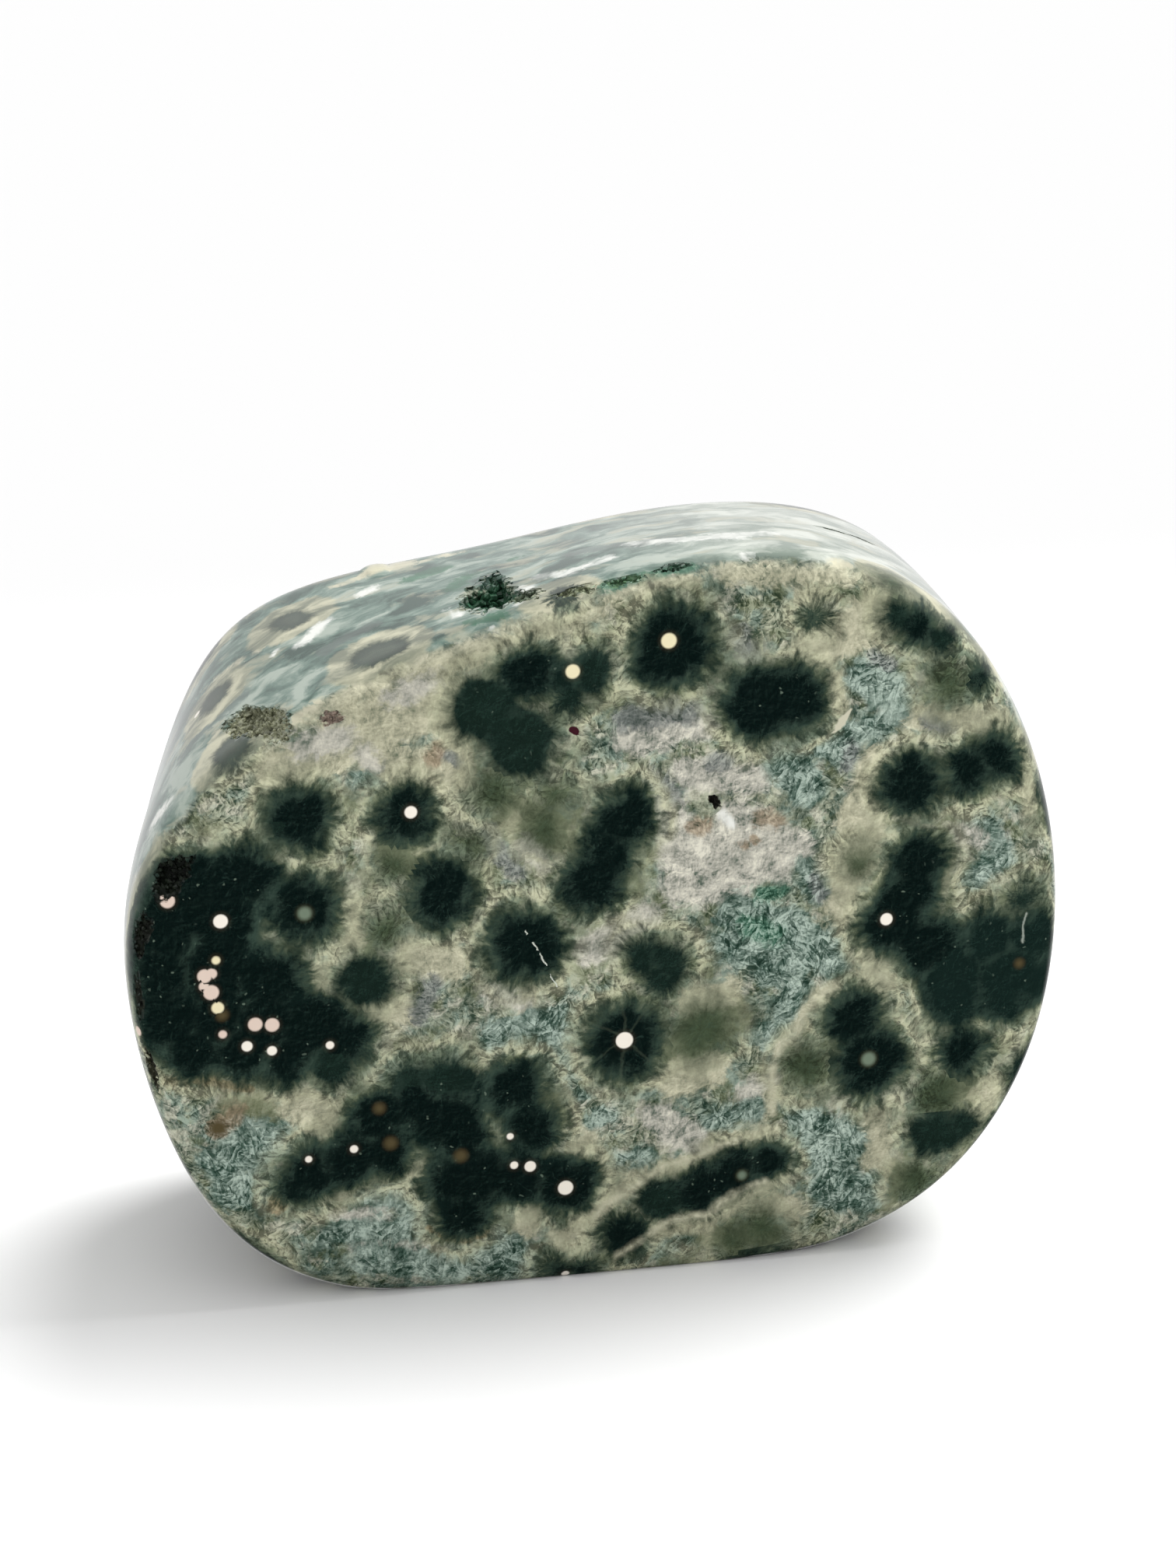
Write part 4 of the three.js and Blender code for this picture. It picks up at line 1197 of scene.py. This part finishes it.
star_rays = lines([
    (1.2, 27, 0.9, 31.6, 0.14), (1.2, 27, -2.6, 29.6, 0.16), (1.2, 27, 4, 30.4, 0.13),
    (1.2, 27, 4, 24.6, 0.14), (1.2, 27, 0.9, 21.6, 0.15), (1.2, 27, -2.4, 24.4, 0.12),
], blur=0.14)
colour = blend(times(star_rays, 0.16), colour, (0.12, 0.15, 0.10))
rim = lines([
    (23.6, 31.2, 21.6, 29.9, 0.42), (21.6, 29.9, 20.3, 28.2, 0.42), (20.3, 28.2, 19.7, 26.4, 0.42),
    (19.7, 26.4, 18.1, 25, 0.42), (18.1, 25, 17.2, 22.4, 0.42), (17.2, 22.4, 17.2, 19.4, 0.38),
    (17.2, 19.4, 17.3, 17.4, 0.3), (-1.6, 7.2, 1.6, 9.6, 0.35), (1.6, 9.6, 5.2, 12.2, 0.35),
    (5.2, 12.2, 9.6, 13.2, 0.3), (9.6, 13.2, 13.6, 14.6, 0.25), (0.6, 2.2, 4.2, 4.4, 0.3),
    (4.2, 4.4, 6.4, 5.8, 0.35), (6.4, 5.8, 10.4, 6.2, 0.35), (10.4, 6.2, 13.4, 8.3, 0.35),
    (13.4, 8.3, 16.6, 9.2, 0.3),
], blur=0.5)
rim = times(rim, straight(haze(here, 1.5, 3), 0.34, 0.54, 0.3, 0.95))
colour = blend(rim, colour, blend(straight(tone, 0, 1), (0.36, 0.36, 0.25), (0.64, 0.62, 0.46)))
crack_dashes = maths("GREATER_THAN", haze(here, 0.7, 1), 0.46)
colour = blend(times(line(-9.25, 39.9, -5.9, 33.4, 0.07, 0.07), crack_dashes), colour, (0.62, 0.66, 0.58))
colour = blend(times(line(44.7, 37.4, 44.5, 34.4, 0.1, 0.12), 0.6), colour, (0.5, 0.55, 0.48))
spindle = line(23.85, 60.1, 24.9, 61.2, 0.5, 0.1, taper=0.42)
spindle = maths("MAXIMUM", spindle, line(23.85, 60.1, 22.8, 59, 0.5, 0.1, taper=0.42))
colour = blend(spindle, colour, (0.58, 0.56, 0.43))
colour = blend(line(-4.15, 60.75, -3.85, 60.6, 0.4, 0.06), colour, (0.045, 0.009, 0.015))

# The pale core discs, with a warm glow round the blurred ones.
core_away = vectors("DISTANCE", here, named("core place", "Vector"))
core_depth = minus(core_away, named("core radius"))
core_paint = named("core colour", "Color")
blur = named("core colour", "Alpha")
core = ramp(core_depth, times(blur, -1), blur, 1, 0)
glow = times(ramp(core_depth, 0, 0.6, 1, 0), ramp(blur, 0.11, 0.4, 0.03, 0.3))
colour = blend(glow, colour, shaded(core_paint, (0.6, 0.42, 0.28)))
colour = blend(core, colour, core_paint)

# Walls of the hollows: the rock's own colour at the rim, the hollow's own colour further in, flecked with
# painted glints and grain, and painted shade that darkens the deepest part.
share_down = named("wall colour", "Alpha")
in_wall = ramp(share_down, 0, 0.06)
# Painted glints and grain: fine flecks that lighten and darken the walls.
sparkle = straight(haze(here, 0.45, 3, 0.7), 0.3, 0.7, 0.35, 1.7)
wall_rim = shaded(colour, blend(0.5, (1, 1, 1), sparkle))
wall_tint = shaded(named("wall colour", "Color"), sparkle)
# Painted shade: the deepest part of each hollow goes near black.
wall_tint = blend(times(ramp(share_down, 0.7, 1.1), 0.75), wall_tint, (0.006, 0.008, 0.006))
# The noise of the painted relief shade also roughens where the rim gives way to the wall.
wall_tint = blend(ramp(fitted(painted_emboss_shade, 1.2, share_down), 0.04, 0.28), wall_rim, wall_tint)
colour = blend(in_wall, colour, wall_tint)

# The polish, and the duller walls. Chalcedony bends light a little more than window glass.
POLISH_ROUGHNESS = 0.1
WALL_ROUGHNESS = 0.35
CHALCEDONY_IOR = 1.54
plug(shader.inputs["Base Color"], colour)
plug(shader.inputs["Roughness"], plus(POLISH_ROUGHNESS, times(in_wall, WALL_ROUGHNESS - POLISH_ROUGHNESS)))
shader.inputs["IOR"].default_value = CHALCEDONY_IOR

for polygon in stone_mesh.polygons:
    polygon.use_smooth = True
SHARP_FROM = math.radians(35)
stone_mesh.set_sharp_from_angle(angle=SHARP_FROM)
stone_mesh.materials.clear()
stone_mesh.materials.append(jasper)
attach(stone, "root")
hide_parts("stone")
